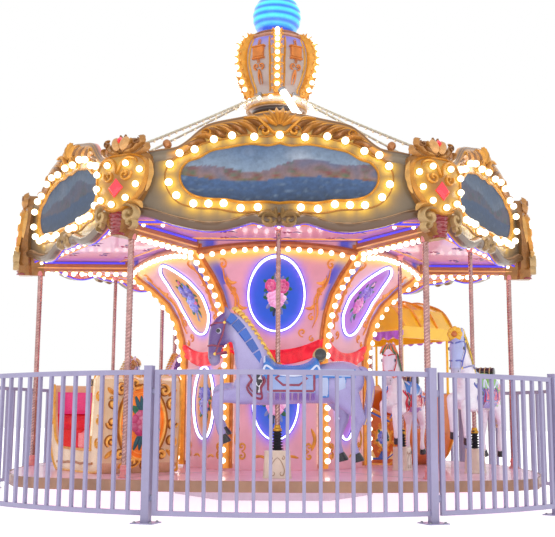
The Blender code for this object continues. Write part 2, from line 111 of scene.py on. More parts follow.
class Shape:
    """Points, faces and a paint colour for each point, gathered before they become one mesh."""

    def __init__(self):
        self.points = []
        self.faces = []
        self.paints = []
        self.slots = []
        self.paint = (1.0, 1.0, 1.0)
        self.slot = 0

    def add(self, points, paint=None):
        start = len(self.points)
        self.points.extend(points)
        self.paints.extend([paint or self.paint] * len(points))
        return start

    def face(self, *corners):
        self.faces.append(corners)
        self.slots.append(self.slot)

    def skin(self, rows, closed=True, ends=True, paints=None):
        """Skin through rows of equal length; closed joins each row's last point to its first."""
        n = len(rows[0])
        starts = [self.add(row, paints[k] if paints else None) for k, row in enumerate(rows)]
        if paints and isinstance(paints[0], list):
            self.paints[starts[0]:] = [tone for tones in paints for tone in tones]
        for a, b in zip(starts, starts[1:]):
            for i in range(n if closed else n - 1):
                j = (i + 1) % n
                self.face(a + i, a + j, b + j, b + i)
        if closed and ends:
            self.face(*range(starts[0] + n - 1, starts[0] - 1, -1))
            self.face(*range(starts[-1], starts[-1] + n))

    def ball(self, centre, radius, across=12, down=8, stretch=1.0, axis=Vector((0, 0, 1))):
        side = axis.orthogonal().normalized()
        front = axis.cross(side)
        rows = []
        for k in range(1, down):
            lean = pi * k / down
            rows.append([centre + axis * (-cos(lean) * radius * stretch)
                         + (side * cos(2 * pi * i / across) + front * sin(2 * pi * i / across)) * sin(lean) * radius
                         for i in range(across)])
        first = self.add([centre - axis * radius * stretch])
        last_start = None
        start = len(self.points)
        self.skin(rows, True, False)
        last_start = len(self.points) - across
        tip = self.add([centre + axis * radius * stretch])
        for i in range(across):
            j = (i + 1) % across
            self.face(first, start + j, start + i)
            self.face(tip, last_start + i, last_start + j)

    def tube(self, path, radius, sides=8, flat=1.0, up=None, twist=0.0):
        """Round or flattened tube through the points; radius may be a number or one for each point."""
        rows = []
        radii = radius if isinstance(radius, (list, tuple)) else [radius] * len(path)
        side = None
        for k, point in enumerate(path):
            ahead = (path[min(k + 1, len(path) - 1)] - path[max(k - 1, 0)]).normalized()
            if up is not None:
                side = up.cross(ahead)
                side = side.normalized() if side.length > 1e-6 else ahead.orthogonal().normalized()
            elif side is None:
                side = ahead.orthogonal().normalized()
            else:
                side = (side - ahead * side.dot(ahead)).normalized()
            over = ahead.cross(side)
            rows.append([point + side * cos(2 * pi * i / sides + twist * k) * radii[k]
                         + over * sin(2 * pi * i / sides + twist * k) * radii[k] * flat for i in range(sides)])
        self.skin(rows)

    def relief(self, surface, path, width, height, lift=0.0, steps=((-1, -0.15), (-0.65, 0.75), (0, 1.0),
                                                                   (0.65, 0.75), (1, -0.15))):
        """Half-round moulding laid on a surface along a path of (u, v); width and height may taper."""
        n = len(path)
        widths = width if isinstance(width, (list, tuple)) else [width] * n
        heights = height if isinstance(height, (list, tuple)) else [height] * n
        rows = []
        for k, (u, v) in enumerate(path):
            a, b = path[max(k - 1, 0)], path[min(k + 1, n - 1)]
            du, dv = b[0] - a[0], b[1] - a[1]
            size = hypot(du, dv) or 1
            nu, nv = -dv / size, du / size
            rows.append([surface(u + nu * s * widths[k], v + nv * s * widths[k], lift + t * heights[k])
                         for s, t in steps])
        self.skin(rows)

    def plate(self, surface, outline, low, top, bevel=0.0):
        """Flat piece of an outline of (u, v), standing on a surface, with a chamfered upper edge."""
        middle_u = sum(u for u, v in outline) / len(outline)
        middle_v = sum(v for u, v in outline) / len(outline)

        def pulled(share):
            return [(middle_u + (u - middle_u) * share, middle_v + (v - middle_v) * share) for u, v in outline]

        rows = [[surface(u, v, low) for u, v in outline], [surface(u, v, top - bevel) for u, v in outline]]
        if bevel:
            reach = max(hypot(u - middle_u, v - middle_v) for u, v in outline)
            rows.append([surface(u, v, top) for u, v in pulled(1 - bevel / reach)])
        self.skin(rows)

    def dome(self, surface, cu, cv, ru, rv, height, across=16, rings=4, turn=0.0, lift=0.0, petal=0, depth=0.0):
        """Low dome on a surface; petals wave its edge."""
        c, s = cos(turn), sin(turn)
        rows = []
        for k in range(rings + 1):
            share = 1 - k / (rings + 0.35)
            rise = sqrt(max(0.0, 1 - share * share))
            row = []
            for i in range(across):
                a = 2 * pi * i / across
                wave = 1 + depth * cos(petal * a) * share
                u, v = ru * share * cos(a) * wave, rv * share * sin(a) * wave
                row.append(surface(cu + u * c - v * s, cv + u * s + v * c, lift + height * rise))
            rows.append(row)
        self.skin(rows)

    def leaf(self, surface, path, width, height, lobes=0, lift=0.0):
        """Leaf along a path of (u, v): swells and ends in a point, with a raised midrib and lobed edges."""
        n = len(path)
        rows = []
        for k, (u, v) in enumerate(path):
            a, b = path[max(k - 1, 0)], path[min(k + 1, n - 1)]
            du, dv = b[0] - a[0], b[1] - a[1]
            size = hypot(du, dv) or 1
            nu, nv = -dv / size, du / size
            t = k / (n - 1)
            wide = width * max(0.04, sin(pi * min(1, t * 0.92 + 0.06)) ** 0.7)
            if lobes:
                wide *= 0.78 + 0.32 * abs(sin(pi * lobes * t))
            tall = height * (0.35 + 0.65 * sin(pi * t))
            rows.append([surface(u + nu * s * wide, v + nv * s * wide, lift + h * tall)
                         for s, h in ((-1, -0.2), (-0.6, 0.5), (0, 1), (0.6, 0.5), (1, -0.2))])
        self.skin(rows)

    def turned(self, profile, count=24, axis=Matrix(), ends=True, phase=0.0, wave=None):
        """Body of revolution about z of (radius, z) pairs; wave(angle, k) scales the radius."""
        rows = []
        for k, (radius, z) in enumerate(profile):
            rows.append([axis @ Vector((radius * (wave(a, k) if wave else 1) * sin(a),
                                        -radius * (wave(a, k) if wave else 1) * cos(a), z))
                         for a in (phase + 2 * pi * i / count for i in range(count))])
        self.skin(rows, True, ends)

    def box(self, low, top, axis=Matrix(), bevel=0.0):
        """Box with chamfered vertical edges and top edge."""
        x0, y0, z0 = low
        x1, y1, z1 = top
        b = bevel

        def ring(inset, z):
            return [axis @ Vector(p) for p in (
                (x0 + inset + b, y0 + inset, z), (x1 - inset - b, y0 + inset, z), (x1 - inset, y0 + inset + b, z),
                (x1 - inset, y1 - inset - b, z), (x1 - inset - b, y1 - inset, z), (x0 + inset + b, y1 - inset, z),
                (x0 + inset, y1 - inset - b, z), (x0 + inset, y0 + inset + b, z))]

        if b:
            self.skin([ring(b, z0), ring(0, z0 + b), ring(0, z1 - b), ring(b, z1)])
        else:
            self.skin([[axis @ Vector(p) for p in ((x0, y0, z), (x1, y0, z), (x1, y1, z), (x0, y1, z))]
                       for z in (z0, z1)])


def spiral(cu, cv, radius, start, turns, way=1, inner=0.12, count=26):
    """Scroll from its outer end to its eye, as a path of (u, v); start in degrees."""
    path = []
    for k in range(count):
        t = k / (count - 1)
        r = radius * (inner + (1 - inner) * (1 - t) ** 1.3)
        a = radians(start) + way * 2 * pi * turns * t
        path.append((cu + r * cos(a), cv + r * sin(a)))
    return path


def smooth_path(points, count=24):
    """Curve through (u, v) points, as a Catmull-Rom spline."""
    pts = [points[0]] + list(points) + [points[-1]]
    out = []
    spans = len(points) - 1
    for k in range(count):
        s = k / (count - 1) * spans
        i = min(int(s), spans - 1)
        t = s - i
        p0, p1, p2, p3 = pts[i], pts[i + 1], pts[i + 2], pts[i + 3]
        out.append(tuple(0.5 * (2 * b + (c - a) * t + (2 * a - 5 * b + 4 * c - d) * t * t
                                + (3 * b - a - 3 * c + d) * t ** 3) for a, b, c, d in zip(p0, p1, p2, p3)))
    return out


def taper(n, full, ends=0.25, peak=0.5):
    """Width list for a moulding that swells to full at peak and narrows to its ends."""
    return [full * (ends + (1 - ends) * sin(pi * min(1, max(0, (k / (n - 1)) / (2 * peak) if k / (n - 1) < peak
            else 0.5 + (k / (n - 1) - peak) / (2 * (1 - peak))))) ** 0.8) for k in range(n)]


def mirrored(path):
    return [(-u, v) for u, v in path]


def spin(angle, radius=0.0, z=0.0):
    """Matrix of a place at an angle from the front bay, turned to face outwards."""
    return Matrix.Rotation(radians(angle), 4, "Z") @ Matrix.Translation((0, -radius, z))


def piece(name, shape, materials, body="turntable", smooth=True, place=None, stands_for=(), weighted=True):
    """One visible piece from a shape, with its materials, on its body."""
    mesh = bpy.data.meshes.new(name)
    mesh.from_pydata(shape.points, [], shape.faces)
    if place is not None:
        mesh.transform(place)
    mesh.polygons.foreach_set("material_index", shape.slots)
    body_mesh = bmesh.new()
    body_mesh.from_mesh(mesh)
    bmesh.ops.recalc_face_normals(body_mesh, faces=body_mesh.faces)
    body_mesh.to_mesh(mesh)
    body_mesh.free()
    mesh.update()
    layer = mesh.color_attributes.new(name="paint", type="FLOAT_COLOR", domain="POINT")
    flat = []
    for c in shape.paints:
        flat.extend((c[0], c[1], c[2], 1.0))
    layer.data.foreach_set("color", flat)
    for mat in materials if isinstance(materials, (list, tuple)) else (materials,):
        mesh.materials.append(mat)
    mesh.polygons.foreach_set("use_smooth", [smooth] * len(mesh.polygons))
    obj = bpy.data.objects.new(name, mesh)
    bpy.context.scene.collection.objects.link(obj)
    if smooth and weighted:
        bpy.context.view_layer.objects.active = obj
        obj.select_set(True)
        bpy.ops.object.shade_smooth_by_angle(angle=radians(38), keep_sharp_edges=True)
        obj.select_set(False)
    if body:
        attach(obj, body)
    if stands_for:
        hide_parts(*stands_for)
    return obj


# Materials


def add(tree, kind, values=None, inputs=None):
    """One node with its settings; an input is a socket to link or a value to set."""
    node = tree.nodes.new(kind)
    for key, value in (values or {}).items():
        setattr(node, key, value)
    for key, value in (inputs or {}).items():
        if isinstance(value, bpy.types.NodeSocket):
            tree.links.new(value, node.inputs[key])
        else:
            node.inputs[key].default_value = value
    return node


def surface_of(name, base, roughness, metallic=0.0, grain_mm=6.0, relief_mm=0.15, wander_mm=120.0, wander=0.12,
               coat=0.0, painted=False, grime=0.0, glow=0.0, glow_colour=None, ior=1.5, sheen=0.0):
    """Material of a worked surface.

    wander_mm is the size of the slow colour drift of hand painting, grain_mm the size of the surface's own
    texture and relief_mm its depth; painted reads the colour that each piece carries on its points.
    """
    if name in bpy.data.materials:
        return bpy.data.materials[name]
    mat = bpy.data.materials.new(name)
    mat.use_nodes = True
    tree = mat.node_tree
    shader = tree.nodes["Principled BSDF"]
    place = add(tree, "ShaderNodeTexCoord").outputs["Object"]
    slow = add(tree, "ShaderNodeTexNoise", None, {"Vector": place, "Scale": 1000 / wander_mm, "Detail": 5.0,
                                                  "Roughness": 0.6})
    fine = add(tree, "ShaderNodeTexNoise", None, {"Vector": place, "Scale": 1000 / grain_mm, "Detail": 3.0})
    ground = (*base, 1.0)
    if painted:
        ground = add(tree, "ShaderNodeAttribute", {"attribute_name": "paint"}).outputs["Color"]
    drift = add(tree, "ShaderNodeMapRange", None, {"Value": slow.outputs["Fac"], "From Min": 0.3, "From Max": 0.7,
                                                   "To Min": 1 - wander, "To Max": 1 + wander * 0.6})
    shade = add(tree, "ShaderNodeVectorMath", {"operation": "SCALE"}, {"Scale": drift.outputs["Result"]})
    if painted:
        tree.links.new(ground, shade.inputs[0])
    else:
        shade.inputs[0].default_value = base
    tone = shade.outputs["Vector"]
    if grime:
        dirt = add(tree, "ShaderNodeTexNoise", None, {"Vector": place, "Scale": 9.0, "Detail": 8.0, "Roughness": 0.7})
        dirt = add(tree, "ShaderNodeMapRange", None, {"Value": dirt.outputs["Fac"], "From Min": 0.5, "From Max": 0.75,
                                                      "To Min": 0.0, "To Max": grime})
        tone = add(tree, "ShaderNodeMix", {"data_type": "RGBA"}, {"Factor": dirt.outputs["Result"], "A": tone,
                                                                  "B": (*linear("#6B4A3A"), 1.0)}).outputs["Result"]
    tree.links.new(tone, shader.inputs["Base Color"])
    rough = add(tree, "ShaderNodeMapRange", None, {"Value": fine.outputs["Fac"], "To Min": max(0.02, roughness - 0.1),
                                                   "To Max": min(1.0, roughness + 0.1)})
    tree.links.new(rough.outputs["Result"], shader.inputs["Roughness"])
    bump = add(tree, "ShaderNodeBump", None, {"Height": fine.outputs["Fac"], "Strength": 0.6,
                                              "Distance": relief_mm / 1000})
    tree.links.new(bump.outputs["Normal"], shader.inputs["Normal"])
    shader.inputs["Metallic"].default_value = metallic
    if not metallic:
        shader.inputs["IOR"].default_value = ior
    shader.inputs["Coat Weight"].default_value = coat
    shader.inputs["Coat Roughness"].default_value = 0.06
    shader.inputs["Sheen Weight"].default_value = sheen
    if glow:
        if glow_colour is None:
            tree.links.new(tone, shader.inputs["Emission Color"])
        else:
            shader.inputs["Emission Color"].default_value = (*glow_colour, 1.0)
        shader.inputs["Emission Strength"].default_value = glow
    return mat


def lit(name, code, strength):
    """Glass or tube that gives light: a lamp envelope, seen white-hot in its middle."""
    if name in bpy.data.materials:
        return bpy.data.materials[name]
    mat = bpy.data.materials.new(name)
    mat.use_nodes = True
    tree = mat.node_tree
    shader = tree.nodes["Principled BSDF"]
    facing = add(tree, "ShaderNodeLayerWeight", None, {"Blend": 0.35})
    ramp = add(tree, "ShaderNodeValToRGB", None, {"Fac": facing.outputs["Facing"]})
    ramp.color_ramp.elements[0].position = 0.45
    ramp.color_ramp.elements[0].color = (1, 1, 1, 1)
    ramp.color_ramp.elements[1].position = 0.95
    ramp.color_ramp.elements[1].color = (*linear(code), 1)
    tree.links.new(ramp.outputs["Color"], shader.inputs["Emission Color"])
    shader.inputs["Base Color"].default_value = (*linear(code), 1)
    shader.inputs["Roughness"].default_value = 0.15
    shader.inputs["Emission Strength"].default_value = strength
    return mat


def gilt():
    """Gold leaf paint on moulded glass fibre: warm metal with darker hollows from the brush."""
    return surface_of("gold leaf on moulding", tint("gilt"), 0.28, 0.85, 4.0, 0.3, 60.0, 0.3)


def painted_gilt():
    """Gold paint whose tone each piece carries, glossy and half metallic, so that it takes the bulbs' light; it also
    glows faintly with its own tone, which is painted light.
    """
    return surface_of("gold paint brushed on moulding", (1, 1, 1), 0.3, 0.45, 5.0, 0.25, 70.0, 0.25, 0.3, True,
                      glow=0.22)


def lacquer():
    """Hand-painted moulded glass fibre under clear lacquer: soft colour drift and a wet shine; it glows faintly with
    its own colour, which is painted light.
    """
    return surface_of("painted glass fibre under lacquer", (1, 1, 1), 0.32, 0.0, 5.0, 0.12, 150.0, 0.10, 0.5, True,
                      glow=0.10)


def bulb_glass():
    """Frosted bulb glass over a warm filament: the eye reads pure white with a yellow rim."""
    return lit("frosted bulb glass", "#FFDF70", 2.6)


def neon_glass():
    """Neon tube: white-hot core, cold violet edge."""
    return lit("neon tube glass", "#6E7CFF", 2.0)


def strip_light():
    """Blue-violet light strip behind a milky cover."""
    return surface_of("blue light strip cover", linear("#2A1FC8"), 0.3, glow=0.62, glow_colour=linear("#5A4CFF"))


def brass():
    """Spun and twisted brass, rubbed bright on its ridges; its pink tint is a painted reflection of the pink paint
    round it.
    """
    return surface_of("twisted polished brass", linear("#C09490"), 0.16, 1.0, 3.0, 0.1, 50.0, 0.3)


def enamel_steel():
    """Stove enamel on steel tube: even, with a fine orange-peel skin."""
    return surface_of("stove enamelled steel tube", tint("lavender"), 0.38, 0.0, 2.5, 0.12, 300.0, 0.08, 0.25,
                      grime=0.12)


def bare_zinc():
    """Zinc-plated fixings."""
    return surface_of("zinc plated steel", linear("#9A9DA6"), 0.35, 1.0, 1.5, 0.08, 20.0, 0.2)


def rubber():
    """Moulded black rubber, dull with a dusty bloom."""
    return surface_of("moulded black rubber", linear("#1C1A26"), 0.65, 0.0, 1.2, 0.1, 40.0, 0.25)

def painted_board():
    """Moulded board sprayed grey-beige under clear lacquer, with a soft shine; the lamps' warm light round them is
    painted into its colour, and the board glows faintly with its own colour, also painted light.
    """
    return surface_of("sprayed moulded board under lacquer", (1, 1, 1), 0.33, 0.0, 6.0, 0.15, 200.0, 0.14, 0.45,
                      True, glow=0.10)


def horse_lacquer():
    """Glass fibre horse sprayed and hand-painted, then lacquered: soft colour with sharp small highlights; it glows
    faintly with its own colour, which is painted light.
    """
    return surface_of("hand-painted glass fibre in clear coat", (1, 1, 1), 0.28, 0.0, 4.0, 0.10, 180.0, 0.10, 0.8,
                      True, glow=0.05)


def red_vinyl():
    """Padded seat in coated fabric: fine leather grain and a dull shine; it glows faintly with its own red, which is
    painted light.
    """
    return surface_of("grained coated seat fabric", (1, 1, 1), 0.42, 0.0, 1.6, 0.35, 90.0, 0.12, 0.15, True,
                      glow=0.12, sheen=0.2)


def painted_panel():
    """Moulded panel in soft gloss paint; the light of lamps and neon is painted into its colour, and it glows faintly
    with that colour, also painted light.
    """
    return surface_of("gloss painted moulded panel", (1, 1, 1), 0.35, 0.0, 8.0, 0.15, 220.0, 0.08, 0.35, True,
                      glow=0.12)


def picture_paint():
    """Sign painter's oils under matt varnish: brush drift and a broad soft shine; it glows faintly with its own
    colours, which is painted light.
    """
    return surface_of("matt varnished sign painting", (1, 1, 1), 0.6, 0.0, 14.0, 0.5, 40.0, 0.22, 0.0, True, glow=0.05)


def socket_brass():
    """Pressed brass lamp socket."""
    return surface_of("pressed brass lamp socket", linear("#D9A33C"), 0.3, 0.8, 2.0, 0.05, 20.0, 0.2)


def drape_lacquer():
    """Moulded drape in deep red lacquer: wet folds."""
    return surface_of("deep red lacquered moulding", (1, 1, 1), 0.2, 0.0, 3.0, 0.08, 40.0, 0.15, 0.9, True)


def ruby_glass():
    """Pressed red glass gem; its red glow is painted light, with no lamp built behind it."""
    return surface_of("pressed ruby glass", linear("#E80C2C"), 0.08, 0.0, 20.0, 0.02, 30.0, 0.1, 1.0, glow=0.5,
                      glow_colour=linear("#FF0A30"))


def globe_plastic():
    """Ribbed translucent plastic with light strips wound behind it."""
    return surface_of("ribbed globe plastic", (1, 1, 1), 0.25, 0.0, 8.0, 0.1, 90.0, 0.15, 0.6, True, glow=0.32)


def stay_wire():
    """Stranded wire in clear sleeve, greyish gold."""
    return surface_of("sleeved stranded wire", linear("#CFC6AC"), 0.4, 0.2, 2.0, 0.2, 15.0, 0.4)


def small_lamp_plastic():
    """Tiny clear lamps on the string."""
    return surface_of("clear lamp beads", linear("#F1EBD6"), 0.2, 0.0, 3.0, 0.05, 15.0, 0.2, 0.6, glow=0.35,
                      glow_colour=linear("#FFE9B0"))



# Pieces


class CarouselStage(bpy.types.Operator):
    """Pale floor, soft studio light and the camera at the photograph's angle"""
    bl_idname = "carousel.stage"
    bl_label = "Stage"

    def execute(self, context):
        scene = context.scene
        floor = Shape()
        floor.skin([[Vector((-60, y, 0)), Vector((60, y, 0))] for y in (-60, 90)], False)
        mesh = bpy.data.meshes.new("studio_floor")
        mesh.from_pydata(floor.points, [], floor.faces)
        obj = bpy.data.objects.new("studio_floor", mesh)
        scene.collection.objects.link(obj)
        mesh.materials.append(surface_of("pale studio floor", linear("#F6F6F6"), 0.7, 0.0, 30.0, 0.05, 2000.0, 0.01, glow=0.55,
                                         glow_colour=linear("#FFFFFF")))
        world = bpy.data.worlds.new("soft studio")
        scene.world = world
        world.use_nodes = True
        back = world.node_tree.nodes["Background"]
        back.inputs["Color"].default_value = (1, 1, 1, 1)
        back.inputs["Strength"].default_value = 1.0
        for name, spot, aim, size, power in (
                ("key_light", (-5, -9, 7), (0, 0, 2), 5, 45), ("fill_light", (6, -9, 3), (0, 0, 1.5), 6, 15),
                ("low_light", (0, -9, 0.5), (0, 0, 0.1), 3, 15), ("rim_light", (3, 8, 9), (0, 0, 3), 6, 60)):
            light = bpy.data.lights.new(name, "AREA")
            light.size = size
            light.energy = power
            lamp = bpy.data.objects.new(name, light)
            scene.collection.objects.link(lamp)
            lamp.location = spot
            lamp.rotation_euler = (Vector(aim) - Vector(spot)).to_track_quat("-Z", "Y").to_euler()
        data = bpy.data.cameras.new("camera")
        camera = bpy.data.objects.new("camera", data)
        scene.collection.objects.link(camera)
        data.sensor_width = 36
        data.lens = 980 / 555 * 36
        data.clip_end = 300
        pitch, distance, height, roll, aside, yaw, turned = 0.1558, 10.105, 0.713, 0.0063, -0.348, 0.0366, -0.0221
        turn = Matrix.Rotation(-turned, 4, "Z")
        look = turn @ Vector((sin(yaw) * cos(pitch), cos(yaw) * cos(pitch), sin(pitch)))
        camera.location = turn @ Vector((aside, -distance, height))
        camera.rotation_mode = "QUATERNION"
        camera.rotation_quaternion = look.to_track_quat("-Z", "Y") @ Matrix.Rotation(roll, 4, "Z").to_quaternion()
        scene.camera = camera
        scene.view_settings.view_transform = "Standard"
        # Soft halo round the lit lamps, as a camera's lens gives
        scene.use_nodes = True
        tree = scene.node_tree
        tree.nodes.clear()
        picture = tree.nodes.new("CompositorNodeRLayers")
        halo = tree.nodes.new("CompositorNodeGlare")
        halo.glare_type = "BLOOM"
        halo.inputs["Threshold"].default_value = 1.5
        halo.inputs["Strength"].default_value = 0.22
        halo.inputs["Size"].default_value = 0.35
        output = tree.nodes.new("CompositorNodeComposite")
        tree.links.new(picture.outputs["Image"], halo.inputs["Image"])
        tree.links.new(halo.outputs["Image"], output.inputs["Image"])
        return {"FINISHED"}


def rope(shape, low, top, radius, lobes=3, pitch=0.028, place=Matrix(), count=12):
    """Twisted column: rounded strands winding round the axis, one ridge for each pitch."""
    steps = int((top - low) / 0.0085)
    rows = []
    for k in range(steps + 1):
        z = low + (top - low) * k / steps
        turn = 2 * pi * (z - low) / (pitch * lobes)
        rows.append([place @ Vector((r * sin(a), -r * cos(a), z)) for a, r in (
            (2 * pi * i / count, radius * (0.80 + 0.20 * abs(cos(lobes * (2 * pi * i / count - turn) / 2)) ** 0.7))
            for i in range(count))])
    shape.skin(rows)


class CarouselPosts(bpy.types.Operator):
    """Twisted brass corner posts with their foot flanges"""
    bl_idname = "carousel.posts"
    bl_label = "Corner posts"

    def execute(self, context):
        sizes = settings()
        enamel = surface_of("coral enamelled casting", linear("#E88C8A"), 0.35, 0.0, 3.0, 0.15, 60.0, 0.12, 0.4)
        for k in range(BAYS):
            low = sizes.deck + 0.001
            shape = Shape()
            rope(shape, low + 0.09, sizes.head - 0.001, 0.027)
            shape.slot = 1
            shape.turned([(0.054, low), (0.054, low + 0.009), (0.050, low + 0.012), (0.041, low + 0.014),
                          (0.037, low + 0.03), (0.035, low + 0.05), (0.039, low + 0.056), (0.041, low + 0.064),
                          (0.038, low + 0.072), (0.034, low + 0.078), (0.036, low + 0.09), (0.028, low + 0.10)], 28)
            shape.turned([(0.030, sizes.head - 0.05), (0.036, sizes.head - 0.045), (0.038, sizes.head - 0.012),
                          (0.038, sizes.head - 0.001)], 24)
            shape.slot = 2
            for i in range(4):
                bolt = spin(45 + 90 * i, 0.046)
                shape.turned([(0.0065, low + 0.010), (0.0065, low + 0.016), (0.005, low + 0.018)], 6, bolt)
            piece(f"post_{k + 1}", shape, (brass(), enamel, bare_zinc()), "turntable",
                  place=spin(30 + 60 * k, sizes.post), stands_for=(f"corner_post_{k + 1}",))
        return {"FINISHED"}


class CarouselFence(bpy.types.Operator):
    """Enamel on the fence, with base-plate bolts, post caps and hinge pins"""
    bl_idname = "carousel.fence"
    bl_label = "Ring fence"

    def execute(self, context):
        sizes = settings()
        steel = enamel_steel()
        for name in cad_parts:
            if name.startswith("fence_"):
                node = bpy.data.objects[name]
                for slot in node.material_slots:
                    slot.material = steel
        first = 21.05
        span = (360 - 38.8 - 24.8) / 7
        posts = [first, first + 24.8] + [first + 24.8 + span * (k + 1) for k in range(7)]
        shape = Shape()
        for angle in posts:
            place = spin(angle, sizes.fence)
            shape.slot = 0
            shape.skin([[place @ Vector((s * x, s * y, z)) for x, y in ((-1, -1), (1, -1), (1, 1), (-1, 1))]
                        for s, z in ((0.0305, 1.108), (0.0305, 1.1145), (0.026, 1.1149))])
            shape.slot = 1
            for x, y in ((-1, -1), (1, -1), (1, 1), (-1, 1)):
                bolt = place @ Matrix.Translation((x * 0.062, y * 0.062, 0))
                shape.turned([(0.014, 0.008), (0.014, 0.010), (0.009, 0.0101), (0.009, 0.017), (0.007, 0.018)], 6,
                             bolt)
            for z in (0.175, 0.93):
                pin = place @ Matrix.Translation((0.0403, 0, z))
                if abs(angle - first) > 1:
                    shape.turned([(0.009, -0.021), (0.009, -0.0165)], 12, pin)
                    shape.turned([(0.009, 0.0165), (0.009, 0.022), (0.006, 0.024)], 12, pin)
        piece("fence_fixings", shape, (steel, bare_zinc()), "base")
        return {"FINISHED"}


class CarouselPlatform(bpy.types.Operator):
    """Pink deck with its seams, brown edge strip, pedestals and bellows"""
    bl_idname = "carousel.platform"
    bl_label = "Platform"

    def execute(self, context):
        sizes = settings()
        deck_paint = surface_of("deck paint rolled on steel plate", tint("deck"), 0.35, 0.0, 9.0, 0.5, 350.0, 0.10,
                                0.35, grime=0.10)
        rim_paint = surface_of("brown enamel on folded steel", tint("rim"), 0.4, 0.0, 3.0, 0.15, 260.0, 0.25, 0.3)
        base_paint = surface_of("pale grey painted steel", linear("#D5D2D8"), 0.5, 0.0, 2.0, 0.12, 90.0, 0.1)
        for name, mat in (("platform_rim", rim_paint), ("base_frame", base_paint)):
            for slot in bpy.data.objects[name].material_slots:
                slot.material = mat
        low = sizes.deck
        side = [(-1.92, -2.15), (-1.30, -2.37), (-0.65, -2.47), (0, -2.50), (0.65, -2.47), (1.30, -2.37),
                (1.92, -2.15)]
        outline = []
        for turn in range(4):
            for x, y in side:
                spot = spin(90 * turn) @ Vector((x, y, 0))
                outline.append((spot.x * 0.9905, spot.y * 0.9905))
        shape = Shape()
        shape.skin([[Vector((x * s, y * s, z)) for x, y in outline] for s, z in (
            (1.0, 0.181), (1.0, low - 0.006), (0.998, low - 0.001), (0.985, low - 0.0005))])
        shape.slot = 1
        for k in range(BAYS):
            # Joint strips where the deck's six sections meet
            place = spin(30 + 60 * k)
            shape.skin([[place @ Vector((x, y, low - 0.0008 + h)) for x, h in ((-0.016, 0), (-0.013, 0.0015),
                                                                            (0.013, 0.0015), (0.016, 0))]
                        for y in (-2.36, -0.94)], False)
        piece("deck", shape, (deck_paint, bare_zinc()), "turntable", stands_for=("platform_deck",))
        cream = surface_of("cream lacquer on moulded pedestal", linear("#E9D9C3"), 0.3, 0.0, 4.0, 0.2, 90.0, 0.12,
                           0.5, True)
        for k, (angle, radius) in enumerate(HORSES):
            place = spin(angle, radius)
            shape = Shape()

            def ring(share, z, corner=0.03, steps=5):
                a, b = 0.117 * share, 0.0745 * share
                points = []
                for sx, sy, start in ((1, -1, -90), (1, 1, 0), (-1, 1, 90), (-1, -1, 180)):
                    for i in range(steps):
                        t = radians(start + 90 * i / (steps - 1))
                        points.append(Vector((sx * (a - corner) + corner * cos(t), sy * (b - corner)
                                              + corner * sin(t), z)))
                return points

            shape.paint = linear("#E6D2BC")
            shape.skin([ring(*r) for r in ((1.0, low), (1.0, low + 0.012), (0.97, low + 0.018), (0.96, low + 0.05),
                                           (0.90, 0.462), (0.89, 0.468), (0.905, 0.474), (0.905, 0.486),
                                           (0.87, 0.4895), (0.30, 0.4895))])
            shape.paint = linear("#B08A6A")
            for face in (1, -1):
                def front(u, v, h, face=face):
                    t = (v - low) / 0.22
                    return Vector((u, -face * (0.0745 * (0.965 - 0.065 * t) + h), v))
                heart = smooth_path([(0, 0.435), (0.03, 0.405), (0.055, 0.345), (0.05, 0.30), (0.03, 0.292),
                                     (0.022, 0.312), (0.034, 0.322)], 22)
                for path in (heart, mirrored(heart)):
                    shape.relief(front, path, taper(22, 0.005), 0.003)
                for sign in (1, -1):
                    shape.relief(front, spiral(sign * 0.045, 0.43, 0.018, 90, 1.1, -sign, count=14), 0.0035, 0.0025)
            shape.paint = linear("#E6D2BC")
            piece(f"pedestal_{k + 1}", shape, cream, "turntable", place=place)
            # Bellows: zigzag rubber between the pedestal and the collar that rides on the pole
            boot = Shape()
            folds = 7
            base, top = 0.489, 0.655
            rows = []
            for i in range(folds * 2 + 1):
                t = i / (folds * 2)
                r = (0.052 - 0.016 * t) if i % 2 else (0.030 - 0.004 * t)
                z = base + (top - base) * t
                for off in (-0.0022, 0.0022):
                    rows.append([Vector((r * cos(2 * pi * j / 20), r * 0.85 * sin(2 * pi * j / 20), z + off))
                                 for j in range(20)])
            rows = rows[1:]
            boot.skin(rows)
            boot_piece = piece(f"bellows_{k + 1}", boot, rubber(), None, place=place)
            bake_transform(boot_piece)
        return {"FINISHED"}


def blended(a, b, share):
    share = min(1.0, max(0.0, share))
    return tuple(x + (y - x) * share for x, y in zip(a, b))


def along(points, value):
    """Second coordinate at a value of the first, on a list of pairs sorted by the first."""
    if value <= points[0][0]:
        return points[0][1]
    for a, b in zip(points, points[1:]):
        if value <= b[0]:
            return a[1] + (b[1] - a[1]) * (value - a[0]) / ((b[0] - a[0]) or 1)
    return points[-1][1]


def bulbs(shape, spots, glass=0, socket=1, across=10, down=6):
    """Lamps on their sockets; each spot is (point on the surface, direction out, radius)."""
    for point, out, radius in spots:
        out = out.normalized()
        turn = out.to_track_quat("Z", "Y").to_matrix().to_4x4()
        place = Matrix.Translation(point) @ turn
        shape.slot = socket
        shape.turned([(radius * 0.85, -0.004), (radius * 0.85, 0.004), (radius * 0.62, 0.008),
                      (radius * 0.55, radius * 0.55)], 8, place, ends=False)
        shape.slot = glass
        shape.ball(point + out * radius * 1.15, radius, across, down, 1.0, out)


